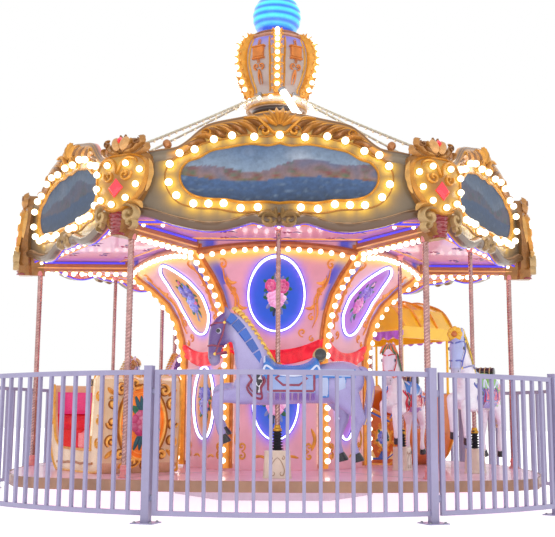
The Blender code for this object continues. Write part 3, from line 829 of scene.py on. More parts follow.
BOARD_TOP = ((0, 3.262), (0.13, 3.262), (0.338, 3.219), (0.57, 3.167), (0.669, 3.106), (0.751, 3.029),
             (0.833, 2.969), (0.90, 2.95), (0.985, 2.940), (1.098, 2.918), (1.34, 2.905))
BOARD_LOW = ((0, 2.305), (0.15, 2.31), (0.20, 2.325), (0.25, 2.318), (0.35, 2.285), (0.454, 2.259), (0.56, 2.252),
             (0.658, 2.259), (0.86, 2.30), (1.098, 2.368), (1.34, 2.380))
PICTURE = ((0, 2.995), (0.10, 2.975), (0.25, 2.985), (0.42, 2.955), (0.56, 2.925), (0.66, 2.865), (0.755, 2.83),
           (0.81, 2.76), (0.815, 2.68), (0.775, 2.60), (0.70, 2.545), (0.58, 2.52), (0.44, 2.515), (0.30, 2.495),
           (0.12, 2.50), (0, 2.49))
BOARD_BULBS = ((0, 3.054), (0.21, 3.037), (0.393, 3.046), (0.542, 3.012), (0.698, 2.925), (0.821, 2.892),
               (0.900, 2.799), (0.905, 2.646), (0.84, 2.537), (0.70, 2.470), (0.577, 2.470), (0.454, 2.474),
               (0.315, 2.436), (0.175, 2.445))


def painted_view(u, v, seed):
    """Night-blue lake with wooded ochre hills and clouds, as a sign painter does it."""
    t = (v - 2.49) / 0.51
    drift = noise.noise(Vector((u * 3.1 + seed, v * 9, seed)))
    fine = noise.noise(Vector((u * 16, v * 38, seed * 2.0)))
    shore = 0.40 + 0.04 * sin(u * 5 + seed) + 0.02 * drift
    far = 0.62 + 0.09 * sin(u * 4.2 + seed * 1.7) + 0.05 * sin(u * 9.1 + seed)
    if t > far:
        sky = blended(linear("#76889E"), linear("#3A5880"), (t - far) / 0.5 + 0.25 * drift)
        return blended(sky, linear("#B8BCC6"), max(0.0, drift * 1.5 - 0.1) * 0.5)
    if t > shore:
        wood = noise.noise(Vector((u * 7.5 + seed * 3, t * 5, 4.0)))
        hill = blended(linear("#5E5F70"), linear("#9A6A50"), 0.5 + wood)
        hill = blended(hill, blended(linear("#7A3A30"), linear("#55684A"), 0.5 + fine), max(0.0, min(1.0, wood * 5)))
        return blended(hill, linear("#4C5B86"), max(0.0, (t - shore) * 1.6))
    deep = blended(linear("#3A5680"), linear("#1E3048"), (shore - t) * 2.4 + 0.5 * fine)
    return blended(deep, linear("#7F97B4"), max(0.0, fine - 0.25) * 0.9)


class CarouselBoards(bpy.types.Operator):
    """Rounding boards with gilt arches, framed pictures and lamps"""
    bl_idname = "carousel.boards"
    bl_label = "Rounding boards"

    def execute(self, context):
        sizes = settings()
        top = [(u, z) for u, z in smooth_path(BOARD_TOP, 70)]
        low = [(u, z) for u, z in smooth_path(BOARD_LOW, 70)]
        edge = smooth_path([(u, v) for u, v in PICTURE], 90)
        upper = [p for p in edge if p[1] >= 2.71]
        lower = sorted(p for p in edge if p[1] <= 2.73)
        lamps = [(s * u, v) for u, v in BOARD_BULBS for s in ((1, -1) if u else (1,))]
        glow, ground, gold = tint("glow"), tint("board"), tint("gilt")
        bronze, deep_gold = linear("#5C4028"), linear("#A0681A")

        def surface(u, v, h):
            reach = sizes.board + h
            u = max(-reach * 0.5765, min(reach * 0.5765, u))
            return Vector((u, -reach, v))

        def lit_by_lamps(u, v, base):
            near = min((u - a) ** 2 + (v - b) ** 2 for a, b in lamps)
            warm = blended(base, linear("#C8921C"), 0.9 * exp(-near / 0.0085))
            return blended(warm, glow, 0.85 * exp(-near / 0.0026))

        for k in range(BAYS):
            shape = Shape()
            columns = 80
            back_tone = linear(("#E8A078", "#E89A32", "#E8951E", "#F09A50", "#F08C7C", "#F08C7C")[k])
            rows = []
            paints = []
            for i in range(columns + 1):
                u = -1.34 + 2.68 * i / columns
                lo, hi = along(low, abs(u)), along(top, abs(u))
                profile = [(lo + 0.004, -0.028, back_tone), (lo, 0.0, bronze), (lo + 0.002, 0.035, bronze),
                           (lo + 0.020, 0.052, bronze), (lo + 0.050, 0.058, bronze), (lo + 0.066, 0.050, bronze),
                           (lo + 0.074, 0.034, linear("#C49A78")), (lo + 0.082, 0.014, ground)]
                inner_low, inner_high = lo + 0.088, hi - 0.105
                for j in range(23):
                    share = j / 22
                    v = inner_low + (inner_high - inner_low) * share
                    profile.append((v, 0.010 + 0.014 * sin(pi * share), lit_by_lamps(u, v, ground)))
                band = blended(deep_gold, ground, max(0.0, min(1.0, (abs(u) - 0.84) / 0.1)))
                bright = blended(gold, band, max(0.0, min(1.0, (abs(u) - 0.84) / 0.1)))
                profile += [(hi - 0.098, 0.018, band), (hi - 0.080, 0.034, band), (hi - 0.050, 0.044, bright),
                            (hi - 0.030, 0.040, band), (hi - 0.018, 0.030, bronze), (hi - 0.005, 0.028, deep_gold),
                            (hi, 0.018, bronze), (hi, -0.028, back_tone)]
                rows.append([surface(u, v, h) for v, h, c in profile])
                paints.append([c for v, h, c in profile])
            shape.skin(rows, paints=paints)
            # Picture, on a fine grid inside its frame
            shape.slot = 1
            rows, paints = [], []
            for i in range(97):
                u = -0.812 + 1.624 * i / 96
                lo, hi = along(lower, abs(u)), along(upper, abs(u))
                heights = [lo + (max(hi, lo + 0.002) - lo) * j / 26 for j in range(27)]
                rows.append([surface(u, v, 0.030) for v in heights] + [surface(u, heights[-1], 0.015),
                                                                       surface(u, lo, 0.015)])
                # Pictures on every board but the front one are darkened towards navy: painted shade
                side_shade = 0.0 if k == 0 else 0.7
                paints.append([blended(painted_view(u, v, k * 2.3), linear("#10304E"), side_shade) for v in heights]
                              + [ground, ground])
            shape.skin(rows, paints=paints)
            # Gold band that carries the lamps, with a fine lip at the picture
            shape.slot = 2
            full = edge + [(-u, v) for u, v in reversed(edge)][1:]
            full = full + full[:2]
            shape.paint = blended(gold, linear("#B9791F"), 0.4)
            shape.relief(surface, full, 0.011, 0.030, 0.022)
            shape.paint = deep_gold
            shape.relief(surface, [(u * 1.15, 2.745 + (v - 2.745) * 1.34) for u, v in full], 0.008, 0.012, 0.016)
            for s in (1, -1):
                # Acanthus fingers that sweep out along the arch
                for i in range(7):
                    x = 0.13 + 0.085 * i
                    end = min(x + 0.20, 0.80)
                    path = smooth_path([(s * (x - 0.03), along(top, x) - 0.175 + 0.008 * i),
                                        (s * (x + 0.02), along(top, x) - 0.115),
                                        (s * (x + 0.09), along(top, x + 0.09) - 0.062),
                                        (s * end, along(top, end) - 0.030)], 14)
                    shape.paint = linear("#A9702A") if i % 2 else linear("#7C4E1E")
                    shape.leaf(surface, path, 0.036, 0.044, 2, 0.018)
                shape.paint = linear("#C98A28")
                shape.relief(surface, spiral(s * 0.125, 3.10, 0.055, 90 - s * 90, 1.3, s), taper(26, 0.013), 0.03,
                             0.03)
                shape.relief(surface, spiral(s * 0.60, 3.075, 0.045, 90 - s * 90, 1.2, s), taper(26, 0.011), 0.025,
                             0.03)
                # Crest shell
                for i in range(3):
                    lean = (0.16 + 0.34 * i) * s
                    path = [(sin(lean) * r, 3.13 + cos(lean) * r * 0.93) for r in
                            (0.03 + 0.155 * j / 9 for j in range(10))]
                    shape.paint = blended(gold, bronze, 0.15 + 0.2 * (i % 2))
                    shape.leaf(surface, path, 0.026, 0.034, 0, 0.03)
                shape.relief(surface, smooth_path([(0, 3.10), (s * 0.05, 3.09), (s * 0.13, 3.16),
                                                   (s * 0.20, 3.215), (s * 0.30, 3.205)], 20), taper(20, 0.016),
                             0.035, 0.025)
                # Knob finial with its small volute
                shape.paint = linear("#A4693B")
                shape.relief(surface, spiral(s * 0.934, 2.985, 0.038, -90, 1.25, -s), taper(26, 0.014, 0.5), 0.026,
                             0.0)
                shape.turned([(0.014, 2.925), (0.020, 2.945), (0.016, 2.955), (0.030, 2.972), (0.036, 2.99),
                              (0.032, 3.008), (0.018, 3.021), (0.008, 3.026)], 16,
                             Matrix.Translation((s * 0.934, -sizes.board, 0)))
                # Bow of leaves at the foot
                shape.paint = linear("#9A7B50")
                shape.relief(surface, spiral(s * 0.088, 2.345, 0.062, 100 if s > 0 else 80, 1.2, -s),
                             taper(26, 0.019, 0.4), 0.045, 0.03)
                shape.leaf(surface, smooth_path([(s * 0.01, 2.345), (s * 0.055, 2.40), (s * 0.13, 2.405),
                                                 (s * 0.175, 2.365)], 14), 0.030, 0.05, 3, 0.035)
                shape.leaf(surface, smooth_path([(s * 0.012, 2.345), (s * 0.03, 2.41), (s * 0.025, 2.455)], 10),
                           0.020, 0.05, 0, 0.035)
                shape.leaf(surface, smooth_path([(s * 0.012, 2.36), (s * 0.05, 2.315), (s * 0.12, 2.30)], 10),
                           0.022, 0.045, 0, 0.035)
            shape.paint = bronze
            shape.dome(surface, 0, 2.35, 0.026, 0.036, 0.035, 14, 4, lift=0.04)
            piece(f"board_{k + 1}", shape, (painted_board(), picture_paint(), painted_gilt()), "turntable",
                  place=spin(60 * k), stands_for=(f"rounding_board_{k + 1}",))
            lights = Shape()
            bulbs(lights, [(surface(u, v, 0.030), Vector((0, -1, 0)), sizes.bulb * 1.1) for u, v in lamps])
            piece(f"board_lamps_{k + 1}", lights, (bulb_glass(), socket_brass()), "turntable", place=spin(60 * k))
        return {"FINISHED"}


SHIELD_HALF = ((2.20, 0.045), (2.235, 0.06), (2.262, 0.08), (2.30, 0.11), (2.34, 0.12), (2.40, 0.13),
               (2.44, 0.15), (2.47, 0.175), (2.52, 0.21), (2.60, 0.250), (2.70, 0.264),
               (2.80, 0.262), (2.87, 0.245), (2.905, 0.205), (2.94, 0.185), (2.985, 0.160), (3.03, 0.125),
               (3.08, 0.085), (3.105, 0.055), (3.118, 0.02))


class CarouselShields(bpy.types.Operator):
    """Gilt shields over the corners, with lamps, gems, scrolls and drape"""
    bl_idname = "carousel.shields"
    bl_label = "Corner shields"

    def execute(self, context):
        sizes = settings()
        gold, glow = tint("gilt"), tint("glow")
        dark = linear("#8A5A22")

        def surface(u, v, h):
            return Vector((u, backwards(v) - 2.585 - 0.075 * max(0.0, 1 - (u / 0.30) ** 2) - h, v))

        def backwards(z):
            """How far the shield leans towards the roof at a height."""
            return 0.12 * max(0.0, z - 2.45)

        heights = [2.20 + 0.82 * j / 60 for j in range(61)]
        face_half = ((2.40, 0.02), (2.42, 0.085), (2.46, 0.14), (2.53, 0.195), (2.62, 0.235), (2.71, 0.25),
                     (2.78, 0.243), (2.83, 0.21), (2.86, 0.15), (2.87, 0.07))
        half = smooth_path(face_half, 40)
        oval = [(w, v) for v, w in half] + [(-w, v) for v, w in reversed(half)]
        lamps = [(s * u, v) for u, v in ((0.09, 2.788), (0.208, 2.729), (0.19, 2.603), (0.12, 2.492))
                 for s in (1, -1)] + [(0, 2.444)]
        for k in range(BAYS):
            shape = Shape()
            shape.paint = dark
            rows = []
            for z in heights:
                w = along(SHIELD_HALF, z)
                deep = backwards(z)
                row = [Vector((w * 0.5, -2.40 + deep, z)), Vector((w * 0.6, -2.525 + deep, z)),
                       Vector((w * 0.97, -2.545 + deep, z))]
                for i in range(13):
                    u = w * (1 - i / 6)
                    row.append(surface(u, z, 0.0 if abs(i - 6) < 6 else -0.02))
                row += [Vector((-w * 0.97, -2.545 + deep, z)), Vector((-w * 0.6, -2.525 + deep, z)),
                        Vector((-w * 0.5, -2.40 + deep, z))]
                rows.append(row)
            shape.skin(rows)
            # Yellow face on a fan of rings, so that the lamps' glow can be painted on it
            shape.slot = 1
            rings = []
            for share in (1.0, 0.985, 0.93, 0.85, 0.76, 0.66, 0.56, 0.45, 0.34, 0.22, 0.1):
                row = [(u * share, 2.64 + (v - 2.64) * share) for u, v in oval]
                lift = 0.012 if share == 1.0 else 0.022 + 0.01 * (1 - share)
                start = len(shape.points)
                for u, v in row:
                    near = min((u - a) ** 2 + (v - b) ** 2 for a, b in lamps)
                    shape.add([surface(u, v, lift)], blended(linear("#9E650E"), glow, 0.5 * exp(-near / 0.0032)))
                rings.append(start)
            n = len(oval)
            for a, b in zip(rings, rings[1:]):
                for i in range(n):
                    j = (i + 1) % n
                    shape.face(a + i, a + j, b + j, b + i)
            shape.face(*range(rings[-1], rings[-1] + n))
            shape.slot = 0
            loop = [(u * 1.01, 2.64 + (v - 2.64) * 1.02) for u, v in oval]
            loop = loop + loop[:2]
            shape.paint = linear("#B8791F")
            shape.relief(surface, loop, 0.013, 0.036, 0.002)
            for s in (1, -1):
                shape.paint = blended(gold, dark, 0.3)
                shape.relief(surface, spiral(s * 0.082, 2.70, 0.058, 90 - s * 65, 1.35, -s), taper(26, 0.013, 0.5),
                             0.022, 0.028)
                shape.relief(surface, smooth_path([(s * 0.006, 2.71), (s * 0.03, 2.80), (s * 0.09, 2.845),
                                                   (s * 0.15, 2.835), (s * 0.175, 2.80)], 20), taper(20, 0.013),
                             0.024, 0.026)
                # Foot volutes
                shape.paint = linear("#A98A5C")
                shape.relief(surface, spiral(s * 0.140, 2.365, 0.078, 90 + s * 30, 1.45, -s),
                             taper(26, 0.026, 0.35), 0.055, 0.0)
                shape.relief(surface, spiral(s * 0.150, 2.290, 0.050, -90, 1.2, s), taper(26, 0.020, 0.4), 0.05, 0.0)
                shape.paint = blended(gold, linear("#A98A5C"), 0.5)
                shape.leaf(surface, smooth_path([(s * 0.08, 2.43), (s * 0.15, 2.47), (s * 0.21, 2.455),
                                                 (s * 0.24, 2.41)], 12), 0.024, 0.04, 2, 0.01)
                shape.leaf(surface, smooth_path([(s * 0.240, 2.56), (s * 0.262, 2.66), (s * 0.262, 2.76),
                                                 (s * 0.240, 2.84)], 16), 0.016, 0.030, 3, -0.02)
                # Crest: fan of leaves, heart-shaped lobes in front and curled side leaves
                for i in range(4):
                    lean = (0.14 + 0.36 * i) * s
                    reach = 0.175 - 0.018 * i
                    shape.paint = linear("#B07C3A") if i % 2 else linear("#8A5A2A")
                    shape.leaf(surface, [(sin(lean) * r * 1.1, 2.885 + cos(lean) * r) for r in
                                         (0.02 + (reach - 0.02) * j / 11 for j in range(12))], 0.030, 0.035)
                shape.paint = linear("#C9955A")
                shape.dome(surface, s * 0.042, 2.972, 0.044, 0.062, 0.034, 20, 4, -s * 0.35, 0.030)
                shape.paint = linear("#A8743A")
                shape.leaf(surface, smooth_path([(s * 0.07, 2.895), (s * 0.13, 2.93), (s * 0.175, 2.985),
                                                 (s * 0.180, 3.025), (s * 0.150, 3.030)], 16), 0.026, 0.045, 3, 0.0)
                shape.leaf(surface, smooth_path([(s * 0.10, 2.872), (s * 0.17, 2.885), (s * 0.222, 2.925),
                                                 (s * 0.225, 2.960), (s * 0.200, 2.965)], 16), 0.022, 0.040, 3, 0.0)
                shape.paint = linear("#7A4E26")
                shape.relief(surface, spiral(s * 0.150, 2.985, 0.030, 90 - s * 40, 1.2, -s), taper(26, 0.009, 0.5),
                             0.02, 0.035)
            # Drape: cloth gathered under the foot, in moulded folds
            shape.slot = 2
            shape.paint = linear("#8C1322")
            rows = []
            for j in range(29):
                z = 2.205 + 0.185 * j / 28
                w = 0.052 + 0.030 * (j / 28) ** 0.7 + 0.006 * sin(j * 1.1)
                row = []
                for i in range(20):
                    a = 2 * pi * i / 20
                    fold = 1 + 0.12 * sin(j * 1.35) + 0.05 * cos(5 * a)
                    row.append(Vector((w * cos(a), -2.625 - 0.058 * sin(a) * fold, z)))
                rows.append(row)
            shape.skin(rows)
            # Cut-glass gems: diamond in the middle, heart in the crest
            shape.slot = 3
            for gu, gv, ru, rv in ((0, 2.589, 0.074, 0.082), (0, 3.000, 0.028, 0.032)):
                outer = [(gu + ru * x, gv + rv * y) for x, y in ((1, 0), (0.5, 0.5), (0, 1), (-0.5, 0.5), (-1, 0),
                                                                 (-0.5, -0.5), (0, -1), (0.5, -0.5))]
                inner = [(gu + (u - gu) * 0.55, gv + (v - gv) * 0.55) for u, v in outer]
                shape.skin([[surface(u, v, 0.028) for u, v in outer], [surface(u, v, 0.036) for u, v in outer],
                            [surface(u, v, 0.058) for u, v in inner]])
            piece(f"shield_piece_{k + 1}", shape, (painted_gilt(), painted_board(), drape_lacquer(), ruby_glass()),
                  "turntable", place=spin(30 + 60 * k), stands_for=(f"shield_{k + 1}",))
            lights = Shape()
            bulbs(lights, [(surface(u, v, 0.026), Vector((sin(u * 1.6), -cos(u * 1.6), 0)), sizes.bulb * 0.92)
                           for u, v in lamps])
            piece(f"shield_lamps_{k + 1}", lights, (bulb_glass(), socket_brass()), "turntable",
                  place=spin(30 + 60 * k))
        return {"FINISHED"}


class CarouselCrown(bpy.types.Operator):
    """Crown with lamp-lined ribs, and the ribbed globe on it"""
    bl_idname = "carousel.crown"
    bl_label = "Crown and globe"

    def execute(self, context):
        gold, glow = tint("gilt"), tint("glow")
        profile = smooth_path([(3.7003, 0.30), (3.80, 0.292), (3.88, 0.285), (3.93, 0.255), (3.985, 0.255),
                               (4.02, 0.335), (4.05, 0.345), (4.08, 0.320), (4.16, 0.295), (4.25, 0.335),
                               (4.38, 0.375), (4.50, 0.388), (4.62, 0.375), (4.72, 0.335), (4.78, 0.272),
                               (4.81, 0.262), (4.824, 0.20)], 80)
        shape = Shape()
        tones = []
        for z, r in profile:
            if z < 3.90:
                tone = linear("#54423A")
            elif z < 3.995:
                tone = linear("#3C2A26")
            elif z < 4.09:
                tone = linear("#E9D8BE")
            elif z < 4.70:
                tone = blended(linear("#B0A09A"), linear("#7E76D0"), max(0.0, (z - 4.55) / 0.15))
            elif z < 4.73:
                tone = linear("#6A5BD8")
            else:
                tone = linear("#A8776A")
            tones.append(tone)
        rows = [[Vector((r * sin(a), -r * cos(a), z)) for a in (2 * pi * i / 60 for i in range(60))]
                for z, r in profile]
        shape.skin(rows, True, True, tones)
        shape.slot = 1
        for z, r, thick, tone in ((3.905, 0.285, 0.018, gold), (4.0, 0.315, 0.016, linear("#B8863A")),
                                  (4.085, 0.325, 0.013, gold), (4.765, 0.300, 0.018, linear("#B5826E")),
                                  (3.72, 0.308, 0.016, linear("#8A5A22")), (4.808, 0.268, 0.014, linear("#8A5A4A"))):
            shape.paint = tone
            loop = [Vector((r * sin(a), -r * cos(a), z)) for a in (2 * pi * i / 48 for i in range(49))]
            shape.tube(loop, thick, 8)

        def panel(u, v, h):
            r = along(profile, v) + h
            return Vector((r * sin(u), -r * cos(u), v))

        lamps = []
        for k in range(BAYS):
            turn = spin(60 * k)
            # Rib: moulded gilt fin with scrolled edges
            shape.paint = gold
            spine = smooth_path([(0.300, 4.80), (0.392, 4.73), (0.452, 4.62), (0.466, 4.50), (0.444, 4.38),
                                 (0.388, 4.25), (0.345, 4.16), (0.338, 4.10)], 30)
            rows = []
            for i, (r, z) in enumerate(spine):
                rows.append([turn @ Vector((x, -(r + y), z)) for x, y in (
                    (-0.036, -0.10), (-0.036, 0.004), (-0.026, 0.018), (-0.014, 0.010), (0.014, 0.010),
                    (0.026, 0.018), (0.036, 0.004), (0.036, -0.10))])
            shape.skin(rows)
            for s in (1, -1):
                for i in range(9):
                    r, z = spine[2 + 3 * i]
                    spot = turn @ Matrix.Translation((s * 0.043, -(r - 0.004), z))
                    size = 0.017 + 0.004 * (i % 2)
                    curl = [spot @ Vector((s * size * cos(a) * (1 - a / 9), -0.012 - 0.010 * a / 6,
                                           size * sin(a) * (1 - a / 9))) for a in (6.0 * j / 11 for j in range(12))]
                    shape.tube(curl, [0.0075 - 0.0004 * j for j in range(12)], 6)
            # Leaf tips that stand out along the rib's edge
            for i in range(7):
                r, z = spine[3 + 4 * i] if 3 + 4 * i < 30 else spine[-1]
                for s in (1, -1):
                    base = turn @ Vector((s * 0.03, -r, z))
                    tip = turn @ Vector((s * 0.052, -(r + 0.034), z + 0.03))
                    middle = (base + tip) / 2 + Vector((0, 0, 0.012))
                    shape.tube([base, middle, tip], [0.013, 0.010, 0.002], 6)
            for i in range(9):
                share = i / 8
                z = 4.775 - 0.60 * share
                r = along([(b, a) for a, b in reversed(spine)], z)
                lamps.append((turn @ Vector((0, -(r + 0.010), z)), turn.to_3x3() @ Vector((0, -1, 0.1)), 0.026))
            # Panel border and hanging ornament between the ribs
            middle = radians(60 * k + 30)
            for s in (1, -1):
                path = [(middle + s * radians(19 - 3.0 * abs(z - 4.45) / 0.3), z) for z in
                        (4.13 + 0.58 * i / 20 for i in range(21))]
                shape.paint = linear("#C98F2E")
                rows = []
                for u, v in path:
                    rows.append([panel(u - 0.035, v, -0.004), panel(u - 0.02, v, 0.010), panel(u, v, 0.015),
                                 panel(u + 0.02, v, 0.010), panel(u + 0.035, v, -0.004)])
                shape.skin(rows)
            shape.paint = linear("#C8742C")
            place = Matrix.Rotation(middle, 4, "Z")
            for low_z, top_z, wide, deep in ((4.48, 4.59, 0.062, 0.028), (4.59, 4.61, 0.074, 0.034),
                                             (4.46, 4.48, 0.072, 0.032)):
                r = along(profile, (low_z + top_z) / 2)
                shape.box((-wide, -r - deep, low_z), (wide, -r + 0.03, top_z), place, 0.005)
            for z in (4.615, 4.635, 4.655, 4.675, 4.47, 4.45, 4.43, 4.28):
                r = along(profile, z) + 0.010
                ring = [place @ Vector((0.013 * cos(a), -r, z + 0.013 * sin(a))) for a in
                        (2 * pi * j / 10 for j in range(11))]
                shape.tube(ring, 0.004, 6)
            for s in (1, -1):
                swirl = [panel(middle + (u / 0.37), v, 0.014) for u, v in
                         spiral(s * 0.028, 4.385, 0.034, -90, 1.3, s, count=18)]
                shape.tube(swirl, [0.010 - 0.0003 * j for j in range(18)], 6)
                tail = [panel(middle + s * 0.05 * sin(j / 3), 4.35 - 0.021 * j, 0.012) for j in range(8)]
                shape.tube(tail, [0.010, 0.011, 0.011, 0.010, 0.008, 0.007, 0.005, 0.003], 6)
        for i in range(18):
            a = 2 * pi * (i + 0.5) / 18
            lamps.append((Vector((0.342 * sin(a), -0.342 * cos(a), 4.045)), Vector((sin(a), -cos(a), 0)), 0.024))
        piece("crown_piece", shape, (lacquer(), painted_gilt()), "turntable", stands_for=("crown",))
        lights = Shape()
        bulbs(lights, lamps)
        piece("crown_lamps", lights, (bulb_glass(), socket_brass()), "turntable")
        globe = Shape()
        rows, paints = [], []
        for j in range(97):
            lean = radians(-62 + 151.5 * j / 96)
            z = 5.06 + 0.264 * sin(lean)
            r = 0.264 * cos(lean)
            row, tones = [], []
            for i in range(64):
                a = 2 * pi * i / 64
                stripe = 0.5 + 0.5 * cos(2 * pi * z / 0.075 + a)
                out = r * (1 - 0.022 * stripe)
                row.append(Vector((out * sin(a), -out * cos(a), z)))
                tone = blended(linear("#3FD8F8"), linear("#1E7BE8"), stripe ** 1.4 * 1.2)
                tones.append(blended(tone, linear("#5B2BFF"), max(0.0, 1 - (z - 4.826) / 0.16) * 0.55))
            rows.append(row)
            paints.append(tones)
        globe.skin(rows, paints=paints)
        piece("globe", globe, globe_plastic(), "turntable", stands_for=("crown_ball",))
        return {"FINISHED"}


class CarouselRoof(bpy.types.Operator):
    """Roof panels with their seams, light-string stays and the lamp stick"""
    bl_idname = "carousel.roof"
    bl_label = "Roof and stays"

    def execute(self, context):
        skin = surface_of("painted glass fibre roof sheet", linear("#C9A9B8"), 0.45, 0.0, 12.0, 0.6, 600.0, 0.12, 0.2,
                          grime=0.2)
        steel = surface_of("satin black painted steel", linear("#2A2A30"), 0.5, 0.0, 2.0, 0.12, 90.0, 0.2)
        for name, mat in (("roof", skin), ("centre_mast", steel)):
            for slot in bpy.data.objects[name].material_slots:
                slot.material = mat
        shape = Shape()

        def on_roof(k, share, t, h):
            """Point on a roof side: share across from -1 to 1, t from the eaves to the neck."""
            r = 2.5444 + (0.30 - 2.5444) * t
            z = 2.62 + (3.70 - 2.62) * t
            return spin(60 * k) @ Vector((share * r * 0.5, -r * 0.8660 - h * 0.43, z + h))

        for k in range(BAYS):
            for share in (-1.0, -0.66, -0.33, 0.0, 0.33, 0.66):
                wide = 0.045 if share == -1.0 else 0.014
                tall = 0.035 if share == -1.0 else 0.014
                rows = []
                for i in range(13):
                    t = 0.02 + 0.95 * i / 12
                    r = 2.5444 + (0.30 - 2.5444) * t
                    step = wide / (r * 0.5)
                    rows.append([on_roof(k, share - step, t, -0.004), on_roof(k, share - step * 0.7, t, tall * 0.7),
                                 on_roof(k, share, t, tall), on_roof(k, share + step * 0.7, t, tall * 0.7),
                                 on_roof(k, share + step, t, -0.004)])
                shape.skin(rows)
        piece("roof_seams", shape, (skin,), "turntable")
        stays = Shape()
        for k in range(BAYS):
            turn = spin(30 + 60 * k)
            top, foot = Vector((0, -0.36, 4.075)), Vector((0, -2.52, 2.945))
            path = []
            for i in range(61):
                t = i / 60
                point = top.lerp(foot, t)
                point.z -= 0.012 * sin(pi * t)
                path.append(turn @ point)
            stays.slot = 0
            stays.tube(path, [0.0105 + 0.0025 * (i % 2) for i in range(61)], 8, 1.0, None, 0.5)
            stays.slot = 1
            for i in range(2, 60, 3):
                stays.ball(path[i] + Vector((0, 0, -0.012)), 0.013, 8, 6)
            stays.slot = 2
            for end in (path[0], path[-1]):
                stays.turned([(0.020, -0.03), (0.024, -0.02), (0.024, 0.02), (0.020, 0.03)], 12,
                             Matrix.Translation(end))
        piece("stays", stays, (stay_wire(), small_lamp_plastic(), bare_zinc()), "turntable")
        stick = Shape()
        low_end, high_end = Vector((0.33, -0.56, 3.60)), Vector((0.045, -0.385, 4.12))
        stick.tube([low_end.lerp(high_end, i / 8) for i in range(9)], 0.036, 14)
        stick.slot = 1
        for end, other in ((low_end, high_end), (high_end, low_end)):
            stick.tube([end, end.lerp(other, 0.06)], 0.040, 14)
        piece("lamp_stick", stick, (lit("frosted lamp tube", "#FFF8E8", 5.0), bare_zinc()), "turntable")
        return {"FINISHED"}


CENTRE = ((0.2705, 0.92), (1.40, 0.92), (1.43, 0.935), (1.56, 0.955), (1.74, 1.01), (1.92, 1.12), (2.07, 1.28),
          (2.17, 1.42), (2.24, 1.497), (2.26, 1.50), (2.3495, 1.50))
OVALS = ((1.895, 0.325, 0.265), (0.90, 0.35, 0.215))
FILLS = ("#2462E0", "#B24AD8", "#E8A038", "#2462E0", "#B24AD8", "#E8A038")


def on_centre(x, z, h):
    """Point on the front side of the centre: x across, z up, h out along the surface's normal."""
    radius = along(CENTRE, z)
    lean = (along(CENTRE, z + 0.02) - along(CENTRE, z - 0.02)) / 0.04 * 0.866
    size = sqrt(1 + lean * lean)
    return Vector((x, -radius * 0.866 - h / size, z - h * lean / size))


def rose(shape, surface, cu, cv, radius, tone, turn=0.0):
    """Full-blown rose in low relief: three rings of petals round a bud, on a few leaves."""
    shape.paint = linear("#2E6B4A")
    for i in range(5):
        a = turn + 2 * pi * i / 5 + 0.5
        path = [(cu + cos(a) * radius * r, cv + sin(a) * radius * r) for r in (0.7, 0.95, 1.2, 1.4, 1.6)]
        shape.leaf(surface, path, radius * 0.26, 0.006, 0, 0.002)
    for ring, (reach, size, count, lift) in enumerate(((0.72, 0.46, 8, 0.003), (0.42, 0.38, 6, 0.009),
                                                       (0.16, 0.26, 3, 0.015))):
        for i in range(count):
            a = turn + 2 * pi * (i + ring * 0.5) / count
            light = 0.25 + 0.5 * ((i * 37 + ring * 11) % 5) / 5
            shape.paint = blended(tone, (1.0, 0.85, 0.92), light * (0.45 if ring else 0.2))
            shape.dome(surface, cu + cos(a) * radius * reach, cv + sin(a) * radius * reach, radius * size * 0.8,
                       radius * size, radius * 0.2, 8, 2, a, lift)
    shape.paint = blended(tone, (0.25, 0, 0.05), 0.4)
    shape.dome(surface, cu, cv, radius * 0.14, radius * 0.14, radius * 0.25, 8, 2, 0, 0.018)


def bouquet(shape, surface, cu, cv, reach, tones, seed):
    """Spray of roses and buds with dark stems and grey leaves."""
    for i in range(9):
        shape.paint = linear("#7A86B8") if i % 3 else linear("#2C3A58")
        a = pi * (0.1 + i / 9 * 2) + seed
        path = [(cu + cos(a) * reach * r * 0.62, cv + sin(a) * reach * r) for r in (0.3, 0.55, 0.78, 0.92, 1.0)]
        shape.leaf(surface, path, reach * 0.08, 0.005, 0, 0.002)
    shape.relief(surface, [(cu + 0.01 * sin(i), cv - reach * (0.4 + 0.09 * i)) for i in range(8)], 0.005, 0.004, 0.002)
    for u, v, r, tone in ((0.0, -0.16, 0.66, 0), (-0.44, 0.44, 0.44, 1), (0.46, 0.40, 0.50, 1), (0.05, 0.86, 0.16, 2),
                          (0.52, -0.12, 0.26, 2), (-0.52, -0.02, 0.26, 0)):
        rose(shape, surface, cu + u * reach * 0.62, cv + v * reach, reach * r * 0.62, linear(tones[tone]), seed + u)


